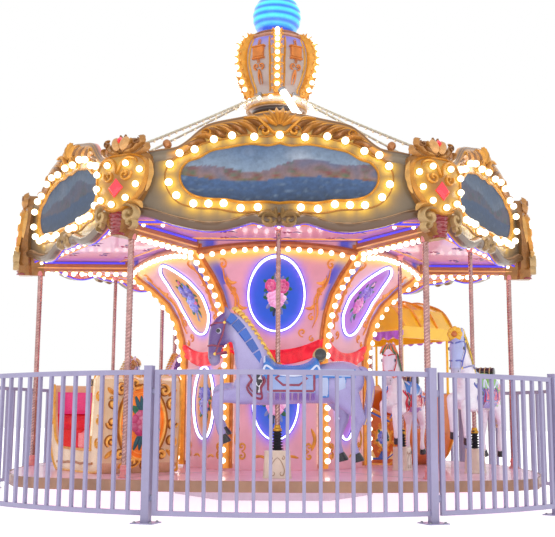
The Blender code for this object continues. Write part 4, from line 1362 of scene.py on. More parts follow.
class CarouselCentre(bpy.types.Operator):
    """Centre column and flared cornice with neon ovals, bouquets, scrolls, ribbon swags and lamp rows"""
    bl_idname = "carousel.centre"
    bl_label = "Centre"

    def execute(self, context):
        sizes = settings()
        pink, gold, glow = tint("pink"), tint("gilt"), tint("glow")
        amber, violet = linear("#F0A23A"), linear("#8C6CFF")
        levels = [0.2705 + (1.44 - 0.2705) * j / 38 for j in range(39)]
        levels += [1.45 + (2.3495 - 1.45) * j / 44 for j in range(45)]
        across = 28

        # Paint of the centre's panels, with the neon's violet glow and the lamps' warm glow painted into it as painted
        # light
        def tone_at(k, x, z):
            radius = along(CENTRE, z)
            edge = radius / 2 - abs(x)
            tone = blended(pink, linear("#ECB2C6"), 0.5 + 0.5 * noise.noise(Vector((x * 3, z * 3, k))))
            share = abs(x) / (radius / 2)
            if z > 1.62:
                inner = 0.90 - 0.15 * min(1.0, (z - 1.62) / 0.5)
                if inner < share < 0.93:
                    tone = linear("#5058D0")
            for centre_z, high, wide in OVALS:
                ring = hypot(x / wide, (z - centre_z) / high)
                gap = (ring - 1) * wide
                if ring < 1:
                    tone = linear(FILLS[k])
                # painted violet glow of the neon tube round each oval
                tone = blended(tone, violet, (0.75 if ring > 1 else 0.4) * exp(-(gap / 0.045) ** 2))
            # painted warm glow of the ridge lamps along the panel's edges
            if z > 0.30:
                tone = blended(tone, blended(glow, (1, 1, 1), 0.25), 0.85 * exp(-(edge / 0.055) ** 2))
            # painted warm glow of the arch lamps under the ceiling
            if z > 2.0:
                arch = 2.235 + 0.075 * (1 - min(1, (2 * x / radius) ** 2))
                tone = blended(tone, glow, 0.8 * exp(-((z - arch + 0.06) / 0.05) ** 2))
            return tone

        shape = Shape()
        rows, paints = [], []
        for z in levels:
            radius = along(CENTRE, z)
            row, tones = [], []
            for k in range(BAYS):
                turn = spin(60 * k)
                for i in range(across):
                    x = radius * (i / across - 0.5)
                    row.append(turn @ Vector((x, -radius * 0.866, z)))
                    tones.append(tone_at(k, x, z))
            rows.append(row)
            paints.append(tones)
        shape.skin(rows, paints=paints)
        piece("centre_body", shape, painted_panel(), "turntable", stands_for=("centre_column", "centre_cornice"))

        lamps = []
        for k in range(BAYS):
            turn = spin(60 * k)
            quarter = spin(30 + 60 * k)

            def surface(x, z, h, turn=turn):
                return turn @ on_centre(x, z, h)

            shape = Shape()
            neon = Shape()
            for centre_z, high, wide in OVALS:
                loop = [(wide * cos(a), centre_z + high * sin(a)) for a in (2 * pi * i / 56 for i in range(58))]
                neon.relief(surface, loop, 0.010, 0.022, 0.006)
                shape.paint = linear("#4A3AD0")
                shape.relief(surface, loop, 0.017, 0.008)
            # Orange ridge moulding with its lamps
            ridge = []
            for i in range(60):
                z = 0.29 + (2.335 - 0.29) * i / 59
                ridge.append(quarter @ Vector((0, -along(CENTRE, z) - 0.004, z)))
            shape.paint = amber
            shape.tube(ridge, 0.046, 12, 0.7, quarter.to_3x3() @ Vector((1, 0, 0)))
            for s in (1, -1):
                shape.paint = linear("#B9652A")
                rail = [(s * (along(CENTRE, z) / 2 - 0.048), z) for z in (0.29 + 2.03 * i / 59 for i in range(60))]
                shape.relief(surface, rail, 0.016, 0.018)
            z = 0.36
            while z < 2.22:
                r = along(CENTRE, z)
                lean = (along(CENTRE, z + 0.02) - along(CENTRE, z - 0.02)) / 0.04
                out = quarter.to_3x3() @ Vector((0, -1, -lean)).normalized()
                lamps.append((quarter @ Vector((0, -r - 0.022, z)), out, sizes.small_bulb * 1.2))
                z += 0.098 / sqrt(1 + lean * lean)
            # Arched trim under the ceiling, its lamps below it
            arch = [(x, 2.235 + 0.075 * (1 - (x / 0.75) ** 2)) for x in (-0.745 + 1.49 * i / 30 for i in range(31))]
            shape.paint = linear("#A85A28")
            shape.relief(surface, [(x, z + 0.010) for x, z in arch], 0.034, 0.034)
            shape.paint = linear("#E89A4A")
            shape.relief(surface, [(x, z - 0.024) for x, z in arch], 0.010, 0.026)
            for i in range(15):
                x = -0.69 + 0.0986 * i
                zz = 2.235 + 0.075 * (1 - (x / 0.75) ** 2)
                lamps.append((surface(x, zz - 0.022, 0.012), turn.to_3x3() @ Vector((0, -1, -0.7)), sizes.small_bulb * 1.05))
            # Acanthus scrolls along both edges of the flare, and at the column's foot and head
            for s in (1, -1):
                shape.paint = blended(gold, linear("#E88C4A"), 0.6)
                side = [(s * (along(CENTRE, z) / 2 * 0.80 - 0.03 - 0.018 * sin(z * 21)), z) for z in
                        (1.60 + 0.56 * i / 29 for i in range(30))]
                shape.relief(surface, side, taper(30, 0.013), 0.014)
                shape.relief(surface, [(x - s * 0.028, z - 0.01) for x, z in side[6:26]], taper(20, 0.009), 0.010)
                for z0, x0, size, start, way in ((2.15, 0.50, 0.045, 60, 1), (1.94, 0.41, 0.036, -60, -1),
                                                 (1.70, 0.335, 0.036, 80, 1), (1.56, 0.25, 0.045, -80, -1),
                                                 (1.50, 0.34, 0.03, 90, 1)):
                    begin = start if s > 0 else 180 - start
                    shape.relief(surface, spiral(s * x0, z0, size, begin, 1.2, way * s, count=20),
                                 taper(20, 0.010, 0.5), 0.012)
                for z0, x0 in ((2.05, 0.47), (1.83, 0.37)):
                    shape.leaf(surface, smooth_path([(s * x0, z0), (s * (x0 - 0.04), z0 - 0.05),
                                                     (s * (x0 - 0.10), z0 - 0.045)], 8), 0.018, 0.014, 1)
                shape.paint = blended(gold, linear("#C98A3A"), 0.5)
                for z0, way in ((0.40, 1), (0.49, -1), (1.20, -1)):
                    x0 = 0.315
                    shape.relief(surface, spiral(s * x0, z0, 0.042, 90 * way, 1.25, way * s, count=20),
                                 taper(20, 0.011, 0.5), 0.013)
                shape.leaf(surface, smooth_path([(s * 0.34, 0.45), (s * 0.37, 0.56), (s * 0.335, 0.66)], 10), 0.020,
                           0.014, 2)
                shape.leaf(surface, smooth_path([(s * 0.22, 0.385), (s * 0.14, 0.40), (s * 0.08, 0.375)], 10), 0.016,
                           0.012, 2)
                shape.paint = linear("#F4C9B8")
                shape.relief(surface, [(s * 0.395, z) for z in (0.33 + 0.92 * i / 5 for i in range(6))], 0.010, 0.012)
            for centre_z, high, wide in OVALS:
                tones = (("#F0A6D8", "#D8257E", "#F7D5E8") if k % 3 == 0 else
                         ("#D86CC0", "#7C5AD8", "#F3B5E2") if k % 3 == 1 else ("#6E7BE0", "#4C56C8", "#D8427E"))
                bouquet(shape, surface, 0, centre_z, high * 0.60, tones, k * 0.7)
            # Ribbon swag between the ridges
            shape.paint = linear("#F0122E")
            rows = []
            for i in range(41):
                x = -0.455 + 0.91 * i / 40
                high_z = 1.395 + 0.125 * (x / 0.455) ** 2
                fold = 0.007 * sin(i * 0.9)
                rows.append([surface(x, high_z - 0.145, 0.004), surface(x, high_z - 0.135, 0.020 + fold),
                             surface(x, high_z - 0.10, 0.014), surface(x, high_z - 0.05, 0.024 + fold),
                             surface(x, high_z - 0.012, 0.016), surface(x, high_z, 0.004)])
            shape.skin(rows)
            piece(f"centre_trim_{k + 1}", shape, painted_gilt(), "turntable")
            piece(f"neon_{k + 1}", neon, neon_glass(), "turntable")
        lights = Shape()
        bulbs(lights, lamps, across=10, down=7)
        piece("centre_lamps", lights, (bulb_glass(), socket_brass()), "turntable")
        return {"FINISHED"}


class CarouselCeiling(bpy.types.Operator):
    """Painted ceiling panels, lamp-lined beams and blue light strips"""
    bl_idname = "carousel.ceiling"
    bl_label = "Ceiling"

    def execute(self, context):
        sizes = settings()
        shape = Shape()
        edge = 2.2037
        lilac, rosy = linear("#B078D8"), linear("#D890B8")
        side = edge / 0.8660
        for k in range(BAYS):
            turn = spin(60 * k)

            def surface(u, v, h, turn=turn):
                return turn @ Vector((u, -v, 2.352 - h))

            # Panel in rosy paint, one closed slab for each bay; the lilac towards its rims is painted violet light
            grid = []
            for i in range(13):
                v = 1.297 + (edge - 1.297) * i / 12
                half = v * 0.57735
                row = []
                for j in range(17):
                    row.append((half * (j / 8 - 1), v))
                grid.append(row)
            starts = []
            for row in grid:
                starts.append(len(shape.points))
                for u, v in row:
                    # lilac near the rims is painted violet light from inside the canopy
                    rim_gap = min(edge - v, v - 1.30, 0.5)
                    shape.add([surface(u, v, 0.0)], blended(lilac, rosy, rim_gap * 4 + 0.3 * sin(u * 5)))
            top = []
            for row in grid:
                top.append(len(shape.points))
                for u, v in row:
                    shape.add([surface(u, v, -0.0175)], rosy)
            for level in (starts, top):
                for a, b in zip(level, level[1:]):
                    for j in range(16):
                        shape.face(a + j, b + j, b + j + 1, a + j + 1)
            for a, b, c, d in zip(starts, starts[1:], top, top[1:]):
                shape.face(a, b, d, c)
                shape.face(a + 16, b + 16, d + 16, c + 16)
            for j in range(16):
                shape.face(starts[0] + j, starts[0] + j + 1, top[0] + j + 1, top[0] + j)
                shape.face(starts[-1] + j, starts[-1] + j + 1, top[-1] + j + 1, top[-1] + j)
            # Painted sprigs
            shape.slot = 1
            for i in range(9):
                v = 1.45 + 0.26 * (i // 3)
                u = (i % 3 - 1) * v * 0.33 + (0.08 if i // 3 % 2 else 0)
                for petal in range(5):
                    a = 2 * pi * petal / 5 + i
                    shape.paint = linear("#7A3F8C") if i % 2 else linear("#A24A6A")
                    shape.leaf(surface, [(u + cos(a) * r, v + sin(a) * r) for r in (0.008, 0.02, 0.034, 0.048)],
                               0.013, 0.006)
                shape.paint = linear("#3A4A7C")
                shape.leaf(surface, [(u + 0.05 + 0.02 * j, v + 0.03 * sin(j)) for j in range(5)], 0.012, 0.005)
            # Gilt line inside the rim, and the eaves moulding
            shape.paint = linear("#E59A4A")
            for v0, w, h in ((edge - 0.03, 0.024, 0.03), (edge - 0.16, 0.009, 0.012), (1.42, 0.010, 0.012)):
                half = v0 * 0.57735 - 0.05
                shape.relief(surface, [(half * (i / 12 - 1), v0) for i in range(25)], w, h)
            shape.slot = 0
        lights, strips = [], Shape()
        beams = Shape()
        for k in range(BAYS):
            turn = spin(30 + 60 * k)
            beams.paint = linear("#A8582A")
            rows = []
            for r in (1.506, 1.52, 2.49, 2.512):
                w = 0.045 if 1.51 < r < 2.5 else 0.040
                rows.append([turn @ Vector((x, -r, z)) for x, z in (
                    (-w, 2.349), (-w, 2.29), (-w + 0.006, 2.262), (-w + 0.014, 2.251), (-0.012, 2.256),
                    (0.012, 2.256), (w - 0.014, 2.251), (w - 0.006, 2.262), (w, 2.29), (w, 2.349))])
            beams.skin(rows)
            for s in (1, -1):
                beams.paint = linear("#F2B062")
                beams.tube([turn @ Vector((s * 0.045, -r, 2.283)) for r in (1.53, 1.85, 2.17, 2.48)], 0.008, 8)
                strips.tube([turn @ Vector((s * 0.052, -r, 2.334)) for r in (1.56, 1.85, 2.17, 2.46)], 0.011, 8)
            for i in range(11):
                r = 1.57 + 0.088 * i
                lights.append((turn @ Vector((0, -r, 2.254)), Vector((0, 0, -1)), sizes.small_bulb * 1.1))
            # Eaves strip and lamps behind the boards
            face = spin(60 * k)
            strips.tube([face @ Vector((x, -2.185, 2.338)) for x in (-1.20, -0.6, 0, 0.6, 1.20)], 0.011, 8)
            lip = smooth_path(BOARD_LOW, 40)
            lip = [(-u, z) for u, z in reversed(lip) if u < 1.2] + [(u, z) for u, z in lip if 0 < u < 1.2]
            strips.tube([face @ Vector((u, -2.196, z + 0.006)) for u, z in lip], 0.007, 6)
            for i in range(15):
                lights.append((face @ Vector((-1.12 + 0.16 * i, -2.14, 2.340)), Vector((0, 0.2, -1)), 0.017))
        for angle, radius in HORSES:
            shape.slot = 1
            shape.paint = linear("#E88C8A")
            shape.turned([(0.046, 2.351), (0.046, 2.343), (0.034, 2.335), (0.030, 2.31), (0.0225, 2.306),
                          (0.0225, 2.351)], 20, spin(angle, radius))
        piece("ceiling_panels", shape, (painted_panel(), painted_gilt()), "turntable", stands_for=("ceiling",))
        piece("ceiling_beams", beams, lacquer(), "turntable")
        piece("light_strips", strips, strip_light(), "turntable")
        lamps = Shape()
        bulbs(lamps, lights, across=10, down=7)
        piece("ceiling_lamps", lamps, (bulb_glass(), socket_brass()), "turntable")
        return {"FINISHED"}


BARREL = ((-0.36, 1.03, 0.06, 0.05), (-0.31, 1.01, 0.125, 0.10), (-0.22, 1.01, 0.155, 0.13),
          (-0.08, 1.01, 0.160, 0.140), (0.10, 1.01, 0.150, 0.145), (0.26, 1.015, 0.148, 0.143),
          (0.40, 1.03, 0.165, 0.145), (0.52, 1.05, 0.168, 0.138), (0.62, 1.06, 0.140, 0.115),
          (0.685, 1.06, 0.085, 0.07), (0.71, 1.06, 0.03, 0.03))
COATS = (("#A196CC", "#5E3A86", "#2F62C0", "#F2C24E", "#2E7BD0", "#8E2448", "#93A6D8"),
         ("#F3EAF6", "#A8B0E0", "#E6C23A", "#F2CC3C", "#8CC86A", "#5A62B8", "#E03A6A"),
         ("#F7EEF6", "#F0E0F2", "#4A7A4C", "#E87A3A", "#3E8AE0", "#D8203C", "#E03A4A"),
         ("#E9DDF2", "#D8C6E8", "#C85A3A", "#F2C24E", "#2E7BD0", "#7A2A8C", "#E8B23A"),
         ("#F2E9F4", "#E6DAF0", "#B98A3E", "#F4DC9A", "#C8283C", "#2858B8", "#F0B93A"),
         ("#EFE4F2", "#DCCDEB", "#6A4FA6", "#F2C24E", "#D8703A", "#1F8A7A", "#F2A6C8"))


def limb(shape, stations, count=16, side=0.0):
    """Rounded limb through (x, z, half depth, half width) stations, square to its own run."""
    fine = [smooth_path([(k, s[i]) for k, s in enumerate(stations)], len(stations) * 4) for i in range(4)]
    spots = [tuple(fine[i][k][1] for i in range(4)) for k in range(len(fine[0]))]
    rows = []
    for k, (x, z, deep, wide) in enumerate(spots):
        a, b = spots[max(k - 1, 0)], spots[min(k + 1, len(spots) - 1)]
        size = hypot(b[0] - a[0], b[1] - a[1]) or 1
        nx, nz = -(b[1] - a[1]) / size, (b[0] - a[0]) / size
        rows.append([Vector((x + nx * deep * cos(t), side + wide * sin(t), z + nz * deep * cos(t)))
                     for t in (2 * pi * i / count for i in range(count))])
    shape.skin(rows)


def horse_shell():
    """Horse's body as one smooth closed skin, grown from its limbs."""
    shape = Shape()
    limb(shape, BARREL, 20)
    limb(shape, ((-0.14, 1.06, 0.16, 0.11), (-0.20, 1.19, 0.150, 0.090), (-0.245, 1.32, 0.125, 0.072),
                 (-0.30, 1.44, 0.100, 0.062), (-0.37, 1.53, 0.078, 0.055), (-0.42, 1.57, 0.05, 0.045)), 18)
    limb(shape, ((-0.39, 1.575, 0.05, 0.045), (-0.435, 1.535, 0.078, 0.064), (-0.475, 1.455, 0.090, 0.072),
                 (-0.505, 1.375, 0.072, 0.056), (-0.520, 1.30, 0.056, 0.048), (-0.522, 1.235, 0.053, 0.050),
                 (-0.512, 1.19, 0.042, 0.042), (-0.505, 1.172, 0.02, 0.02)), 18)
    limb(shape, ((-0.40, 1.47, 0.045, 0.05), (-0.425, 1.41, 0.05, 0.052), (-0.46, 1.35, 0.03, 0.04)), 12)
    for side, lift in ((-1, 0.0), (1, 0.055)):
        limb(shape, ((-0.16, 0.98, 0.12, 0.055), (-0.28, 0.935 + lift / 2, 0.085, 0.052),
                     (-0.40, 0.925 + lift, 0.060, 0.044), (-0.485, 0.915 + lift, 0.050, 0.042),
                     (-0.515, 0.89 + lift, 0.03, 0.035)), 14, 0.068 * side)
        limb(shape, ((-0.485, 0.935 + lift, 0.040, 0.036), (-0.497, 0.86 + lift, 0.042, 0.035),
                     (-0.492, 0.77 + lift, 0.033, 0.029), (-0.474, 0.69 + lift, 0.029, 0.026),
                     (-0.452, 0.635 + lift, 0.036, 0.031), (-0.435, 0.60 + lift, 0.030, 0.028)), 14, 0.068 * side)
    for side, back in ((-1, 0.0), (1, -0.115)):
        limb(shape, ((0.50 + back / 3, 1.02, 0.14, 0.07), (0.56 + back / 2, 0.92, 0.115, 0.062),
                     (0.62 + back * 0.7, 0.83, 0.075, 0.050), (0.665 + back, 0.765, 0.045, 0.037)), 14, 0.072 * side)
        limb(shape, ((0.672 + back, 0.80, 0.030, 0.03), (0.668 + back, 0.755, 0.042, 0.034),
                     (0.645 + back, 0.68, 0.034, 0.029), (0.622 + back, 0.60, 0.028, 0.026),
                     (0.615 + back, 0.53, 0.031, 0.028), (0.628 + back, 0.48, 0.036, 0.031),
                     (0.640 + back, 0.455, 0.028, 0.026)), 14, 0.072 * side)
    for side in (-1, 1):
        limb(shape, ((-0.405, 1.59, 0.026, 0.022), (-0.425, 1.625, 0.024, 0.018), (-0.440, 1.665, 0.010, 0.009),
                     (-0.444, 1.685, 0.003, 0.003)), 10, 0.036 * side)
    mesh = bpy.data.meshes.new("horse_rough")
    mesh.from_pydata(shape.points, [], shape.faces)
    obj = bpy.data.objects.new("horse_rough", mesh)
    bpy.context.scene.collection.objects.link(obj)
    grow = obj.modifiers.new("grow", "REMESH")
    grow.mode = "VOXEL"
    grow.voxel_size = 0.0145
    ease = obj.modifiers.new("ease", "SMOOTH")
    ease.factor = 0.5
    ease.iterations = 3
    whole = bpy.data.meshes.new_from_object(obj.evaluated_get(bpy.context.evaluated_depsgraph_get()))
    bpy.data.objects.remove(obj)
    points = [v.co.copy() for v in whole.vertices]
    faces = [tuple(f.vertices) for f in whole.polygons]
    return points, faces


def on_flank(side):
    """Surface of the barrel on one side: x along, height z, out from the hide."""
    columns = [[(s[0], s[i]) for s in BARREL] for i in (1, 2, 3)]

    def surface(x, z, h):
        mid, tall, wide = (along(c, x) for c in columns)
        share = max(-0.97, min(0.985, (z - mid) / tall))
        across = sqrt(1 - share * share)
        return Vector((x, side * (wide * across + h * across + 0.004), mid + share * (tall + h)))

    return surface


class CarouselHorses(bpy.types.Operator):
    """Six jumping horses with tack, manes and tails, on twisted poles"""
    bl_idname = "carousel.horses"
    bl_label = "Horses"

    def execute(self, context):
        points, faces = horse_shell()
        for k, (angle, radius) in enumerate(HORSES):
            place = spin(angle, radius)
            share = HORSE_SHARES[k]
            standing = place @ Matrix.Translation((0, 0, 0.43 * (1 - share))) @ Matrix.Scale(share, 4)
            body_name = f"horse_body_{k + 1}"
            coat, face_tone, mane, lock, saddle, trim, cloth = (linear(c) for c in COATS[k])
            tints = []
            for point in points:
                # coat lightened towards white higher up the body: painted top light
                tone = blended(coat, (1, 1, 1), 0.22 * max(0.0, (point.z - 0.9)))
                shade = max(0.0, min(1.0, (-0.36 - point.x) / 0.08)) * max(0.0, min(1.0, (point.z - 1.18) / 0.1))
                tone = blended(tone, face_tone, shade)
                if abs(point.z - 1.22) < 0.045 and point.x < -0.40:
                    tone = blended(tone, linear("#6B5878"), 0.35)
                tints.append(tone)
            hide = Shape()
            hide.points, hide.faces, hide.paints, hide.slots = points, faces, tints, [0] * len(faces)
            piece(f"horse_{k + 1}_body", hide, horse_lacquer(), body_name, place=standing,
                  stands_for=(f"horse_{k + 1}",), weighted=False)
            tack = Shape()
            # Hooves
            tack.paint = linear("#15121A")
            for side, lift in ((-1, 0.0), (1, 0.055)):
                limb(tack, ((-0.442, 0.612 + lift, 0.032, 0.030), (-0.432, 0.590 + lift, 0.038, 0.035),
                            (-0.416, 0.555 + lift, 0.048, 0.042), (-0.413, 0.548 + lift, 0.040, 0.036)), 14,
                     0.068 * side)
            for side, back in ((-1, 0.0), (1, -0.115)):
                limb(tack, ((0.634 + back, 0.468, 0.032, 0.030), (0.642 + back, 0.448, 0.038, 0.035),
                            (0.654 + back, 0.412, 0.048, 0.042), (0.656 + back, 0.405, 0.040, 0.036)), 14,
                     0.072 * side)
            for s in (-1, 1):
                # Eye in its lid, nostril, bridle
                eye = Vector((-0.487, s * 0.066, 1.452))
                tack.paint = linear("#C9C4E2")
                tack.ball(eye, 0.024, 14, 9, 0.6, Vector((0, 1, 0)))
                tack.paint = linear("#0E0D14")
                tack.ball(eye + Vector((-0.004, s * 0.008, 0)), 0.018, 14, 9, 0.6, Vector((0, 1, 0)))
                tack.ball(Vector((-0.548, s * 0.032, 1.232)), 0.012, 10, 7, 0.6, Vector((0, 1, 0)))
                tack.paint = trim
                rein = ((-0.515, 1.26, 0.060), (-0.42, 1.28, 0.090), (-0.28, 1.30, 0.098), (-0.13, 1.25, 0.075),
                        (-0.09, 1.24, 0.035))
                for path in (((-0.44, 1.60, 0.030), (-0.435, 1.52, 0.068), (-0.455, 1.42, 0.076),
                              (-0.49, 1.33, 0.060), (-0.515, 1.26, 0.056)),
                             ((-0.575, 1.33, 0.020), (-0.54, 1.335, 0.052), (-0.48, 1.325, 0.058),
                              (-0.445, 1.33, 0.03)),
                             ((-0.555, 1.50, 0.012), (-0.53, 1.515, 0.050), (-0.44, 1.52, 0.069)),
                             rein if k % 3 else rein[:2]):
                    tack.tube([Vector((x, s * y, z)) for x, z, y in path], 0.0075, 8)
                tack.paint = lock
                tack.ball(Vector((-0.515, s * 0.062, 1.262)), 0.014, 10, 7, 0.5, Vector((0, 1, 0)))
                tack.ball(Vector((-0.440, s * 0.072, 1.52)), 0.013, 10, 7, 0.5, Vector((0, 1, 0)))
                # Mane: squared locks over the crest, a golden edge behind them
                for i in range(5):
                    tack.paint = mane if i % 2 == 0 else blended(mane, (0.05, 0.05, 0.12), 0.22)
                    rows = []
                    for j in range(7):
                        t = (i + 0.04 + 0.90 * j / 6) / 5
                        spot = Vector((-0.385 + 0.318 * t, 0, 1.612 - 0.395 * t ** 1.3))
                        inward = Vector((-0.46 * (t + 0.05) ** 0.35, 0, -0.30)).normalized()
                        rows.append([spot + inward * d + Vector((0, s * (0.024 + h + 0.055 * (d / 0.105) ** 0.7), 0))
                                     for d, h in ((0.006, 0.0), (0.010, 0.014), (0.045, 0.018), (0.084, 0.016),
                                                  (0.092, 0.0))])
                    tack.skin(rows)
                for i in range(13):
                    t = i / 12
                    root = Vector((-0.375 + 0.315 * t, s * 0.018, 1.632 - 0.40 * t ** 1.3))
                    tip = root + Vector((0.050 - 0.01 * t, s * 0.006, 0.012 - 0.045 * t))
                    tack.paint = lock if i % 2 else blended(lock, linear("#B98A3E"), 0.45)
                    tack.tube([root, root.lerp(tip, 0.4) + Vector((0, 0, 0.010)), tip], [0.020, 0.016, 0.006], 8,
                              0.8)
                flank = on_flank(s)
                # Breast collar: two scalloped frames with a dark plume
                tack.paint = trim
                collar = smooth_path([(-0.20, 1.155), (-0.245, 1.11), (-0.215, 1.055), (-0.25, 0.99),
                                      (-0.205, 0.925), (-0.13, 0.905), (-0.135, 0.98), (-0.105, 1.04),
                                      (-0.12, 1.10), (-0.09, 1.15)], 40)
                tack.relief(flank, collar, 0.009, 0.012)
                tack.relief(flank, [(x * 0.80 - 0.034, 1.03 + (z - 1.03) * 0.72) for x, z in collar], 0.005, 0.012)
                tack.paint = linear("#E8E6F0")
                tack.dome(flank, -0.165, 1.035, 0.042, 0.085, 0.006, 18, 3, 0.1)
                tack.paint = linear("#14121C")
                for cx, cz, w, h in ((-0.175, 1.075, 0.026, 0.030), (-0.155, 1.035, 0.024, 0.028),
                                     (-0.175, 0.985, 0.018, 0.035)):
                    tack.dome(flank, cx, cz, w, h, 0.010, 12, 3, 0.4, 0.004, 3, 0.3)
                # Saddle cloth with border, hexagon line and fringe
                tack.paint = cloth
                rows = []
                for i in range(25):
                    x = -0.085 + 0.385 * i / 24
                    rows.append([flank(x, z, h) for z, h in (
                        (1.150, 0.004), (1.145, 0.010), (1.10, 0.011), (1.05, 0.012), (1.00, 0.013), (0.955, 0.015),
                        (0.948, 0.010), (0.948, 0.002))])
                tack.skin(rows)
                tack.paint = trim
                for path in ([(-0.075 + 0.365 * i / 12, 0.967) for i in range(13)],
                             [(-0.078, 1.14 - 0.17 * i / 5) for i in range(6)],
                             [(0.292, 1.14 - 0.17 * i / 5) for i in range(6)],
                             [(-0.02, 1.06), (0.04, 1.105), (0.17, 1.105), (0.235, 1.06), (0.17, 1.01), (0.04, 1.01),
                              (-0.02, 1.06), (0.01, 1.083)]):
                    tack.relief(flank, path, 0.0095, 0.006, 0.012)
                for i in range(24):
                    x = -0.078 + 0.371 * i / 23
                    tack.paint = blended(linear("#8E7CD8"), lock if i % 3 == 0 else trim, 0.3)
                    tack.tube([flank(x, z, 0.012) for z in (0.955, 0.93, 0.90)], [0.009, 0.008, 0.005], 6)
                # Rump cloth: blue bordered bands with a pendant
                tack.paint = blended(cloth, (1, 1, 1), 0.2)
                for x0, x1, z0, z1 in ((0.335, 0.625, 1.075, 1.135), (0.345, 0.405, 0.925, 1.075),
                                       (0.475, 0.545, 0.940, 1.075)):
                    rows = [[flank(x0 + (x1 - x0) * i / 8, z, h) for z, h in (
                        (z1, 0.002), (z1, 0.010), ((z0 + z1) / 2, 0.012), (z0, 0.010), (z0, 0.002))]
                        for i in range(9)]
                    tack.skin(rows)
                tack.paint = saddle
                for x0, x1, z0, z1 in ((0.335, 0.625, 1.075, 1.135), (0.345, 0.405, 0.925, 1.075),
                                       (0.475, 0.545, 0.940, 1.075)):
                    tack.relief(flank, [(x0, z1), (x0, z0), ((x0 + x1) / 2, z0), (x1, z0), (x1, z1)], 0.007, 0.006,
                                0.010)
                tack.paint = lock
                tack.dome(flank, 0.46, 1.105, 0.018, 0.018, 0.012, 12, 3, lift=0.010)
            # Forelock: feathers over the brow, or a big flower
            for i in range(9):
                if k == 1:
                    a = 2 * pi * i / 8
                    reach = 0.048 if i < 8 else 0.0
                    tack.paint = linear("#F2B81E") if i < 8 else linear("#C86A1E")
                    tack.ball(Vector((-0.505 - 0.01 * (i == 8), 0.01 + reach * cos(a), 1.590 + reach * sin(a))), 0.032,
                              12, 8, 0.6, Vector((1, 0, 0)))
                elif k:
                    lean = (i - 4) / 4
                    tack.paint = mane if i % 2 else lock
                    tack.tube([Vector((-0.425 - 0.05 * q - 0.035 * sin(pi * q), lean * (0.03 + 0.075 * q),
                                       1.635 - (0.16 - 0.05 * abs(lean)) * q)) for q in (0, 0.2, 0.4, 0.6, 0.8, 1.0)],
                              [0.012, 0.020, 0.021, 0.018, 0.013, 0.004], 8)
            # Saddle: seat between pommel and cantle, with a pale rolled edge
            tack.paint = saddle
            top_line = smooth_path([(-0.125, 1.180), (-0.105, 1.255), (-0.065, 1.245), (-0.01, 1.196), (0.08, 1.178),
                                    (0.18, 1.182), (0.26, 1.215), (0.315, 1.262), (0.345, 1.20)], 30)
            rows = []
            for x, z in top_line:
                arc = []
                for i in range(17):
                    t = radians(-78 + 156 * i / 16)
                    reach = 0.150 if abs(t) > 0.9 else 0.146
                    drop = (1 - cos(t))
                    arc.append(Vector((x, reach * sin(t), z - 0.115 * drop - 0.02 * (z - 1.18) * abs(t))))
                arc += [Vector((x, 0.135, 1.06)), Vector((x, -0.135, 1.06))]
                rows.append(arc)
            tack.skin(rows)
            tack.paint = linear("#DCE4FA")
            for row in (0, 16):
                tack.tube([r[row] for r in rows], 0.009, 8)
            tack.tube([p + Vector((0, 0, 0.004)) for p in rows[3][2:15]], 0.010, 8)
            tack.paint = linear("#17131C")
            tack.tube([Vector((0.345, y, 1.262)) for y in (-0.115, -0.11, -0.05, 0, 0.05, 0.11, 0.115)],
                      [0.03, 0.046, 0.048, 0.048, 0.048, 0.046, 0.03], 16)
            tack.paint = linear("#C9A06A")
            for y in (-0.075, -0.025, 0.025, 0.075):
                tack.tube([Vector((0.345 + 0.050 * cos(a), y, 1.262 + 0.050 * sin(a))) for a in
                           (2 * pi * i / 16 for i in range(18))], 0.006, 6)
            # Tail: long locks in the coat's shade, one of them golden
            for i in range(9):
                sway = (i - 4) / 4
                tone = lock if i in (2, 6) else blended(coat, linear("#6B5FA0"), 0.25 + 0.08 * (i % 3))
                tack.paint = tone
                path = smooth_path([(0, 0.66), (1, 0.715), (2, 0.765 + 0.012 * abs(sway)), (3, 0.768), (4, 0.742),
                                    (5, 0.715)], 16)
                high = smooth_path([(0, 1.145), (1, 1.150), (2, 1.06), (3, 0.93), (4, 0.80), (5, 0.70 + 0.03 * (i % 2))],
                                   16)
                tack.tube([Vector((path[j][1] - 0.02 * abs(sway), sway * 0.040 * min(1, j / 5) + 0.006 * sin(j + i),
                                   high[j][1])) for j in range(16)],
                          [0.012 + 0.014 * sin(pi * min(1, j / 15 * 1.05)) for j in range(16)], 8)
            piece(f"horse_{k + 1}_tack", tack, horse_lacquer(), body_name, place=standing)
            pole = Shape()
            rope(pole, 0.655, 2.497, 0.0208)
            pole.turned([(0.019, 0.375), (0.019, 0.66)], 16)
            pole.slot = 1
            for low_end, rings in ((0.640, ((0.030, 0), (0.036, 0.006), (0.036, 0.022), (0.028, 0.028), (0.024, 0.050),
                                           (0.020, 0.054))),
                                  (1.168, ((0.020, 0), (0.034, 0.004), (0.036, 0.017), (0.028, 0.028), (0.021, 0.032)))):
                foot = 0.43 + share * (low_end - 0.43)
                pole.turned([(r, foot + z) for r, z in rings], 20)
            piece(f"horse_{k + 1}_pole", pole, (brass(), socket_brass()), body_name, place=place,
                  stands_for=(f"horse_pole_{k + 1}",))
        return {"FINISHED"}


CAR = 0.86


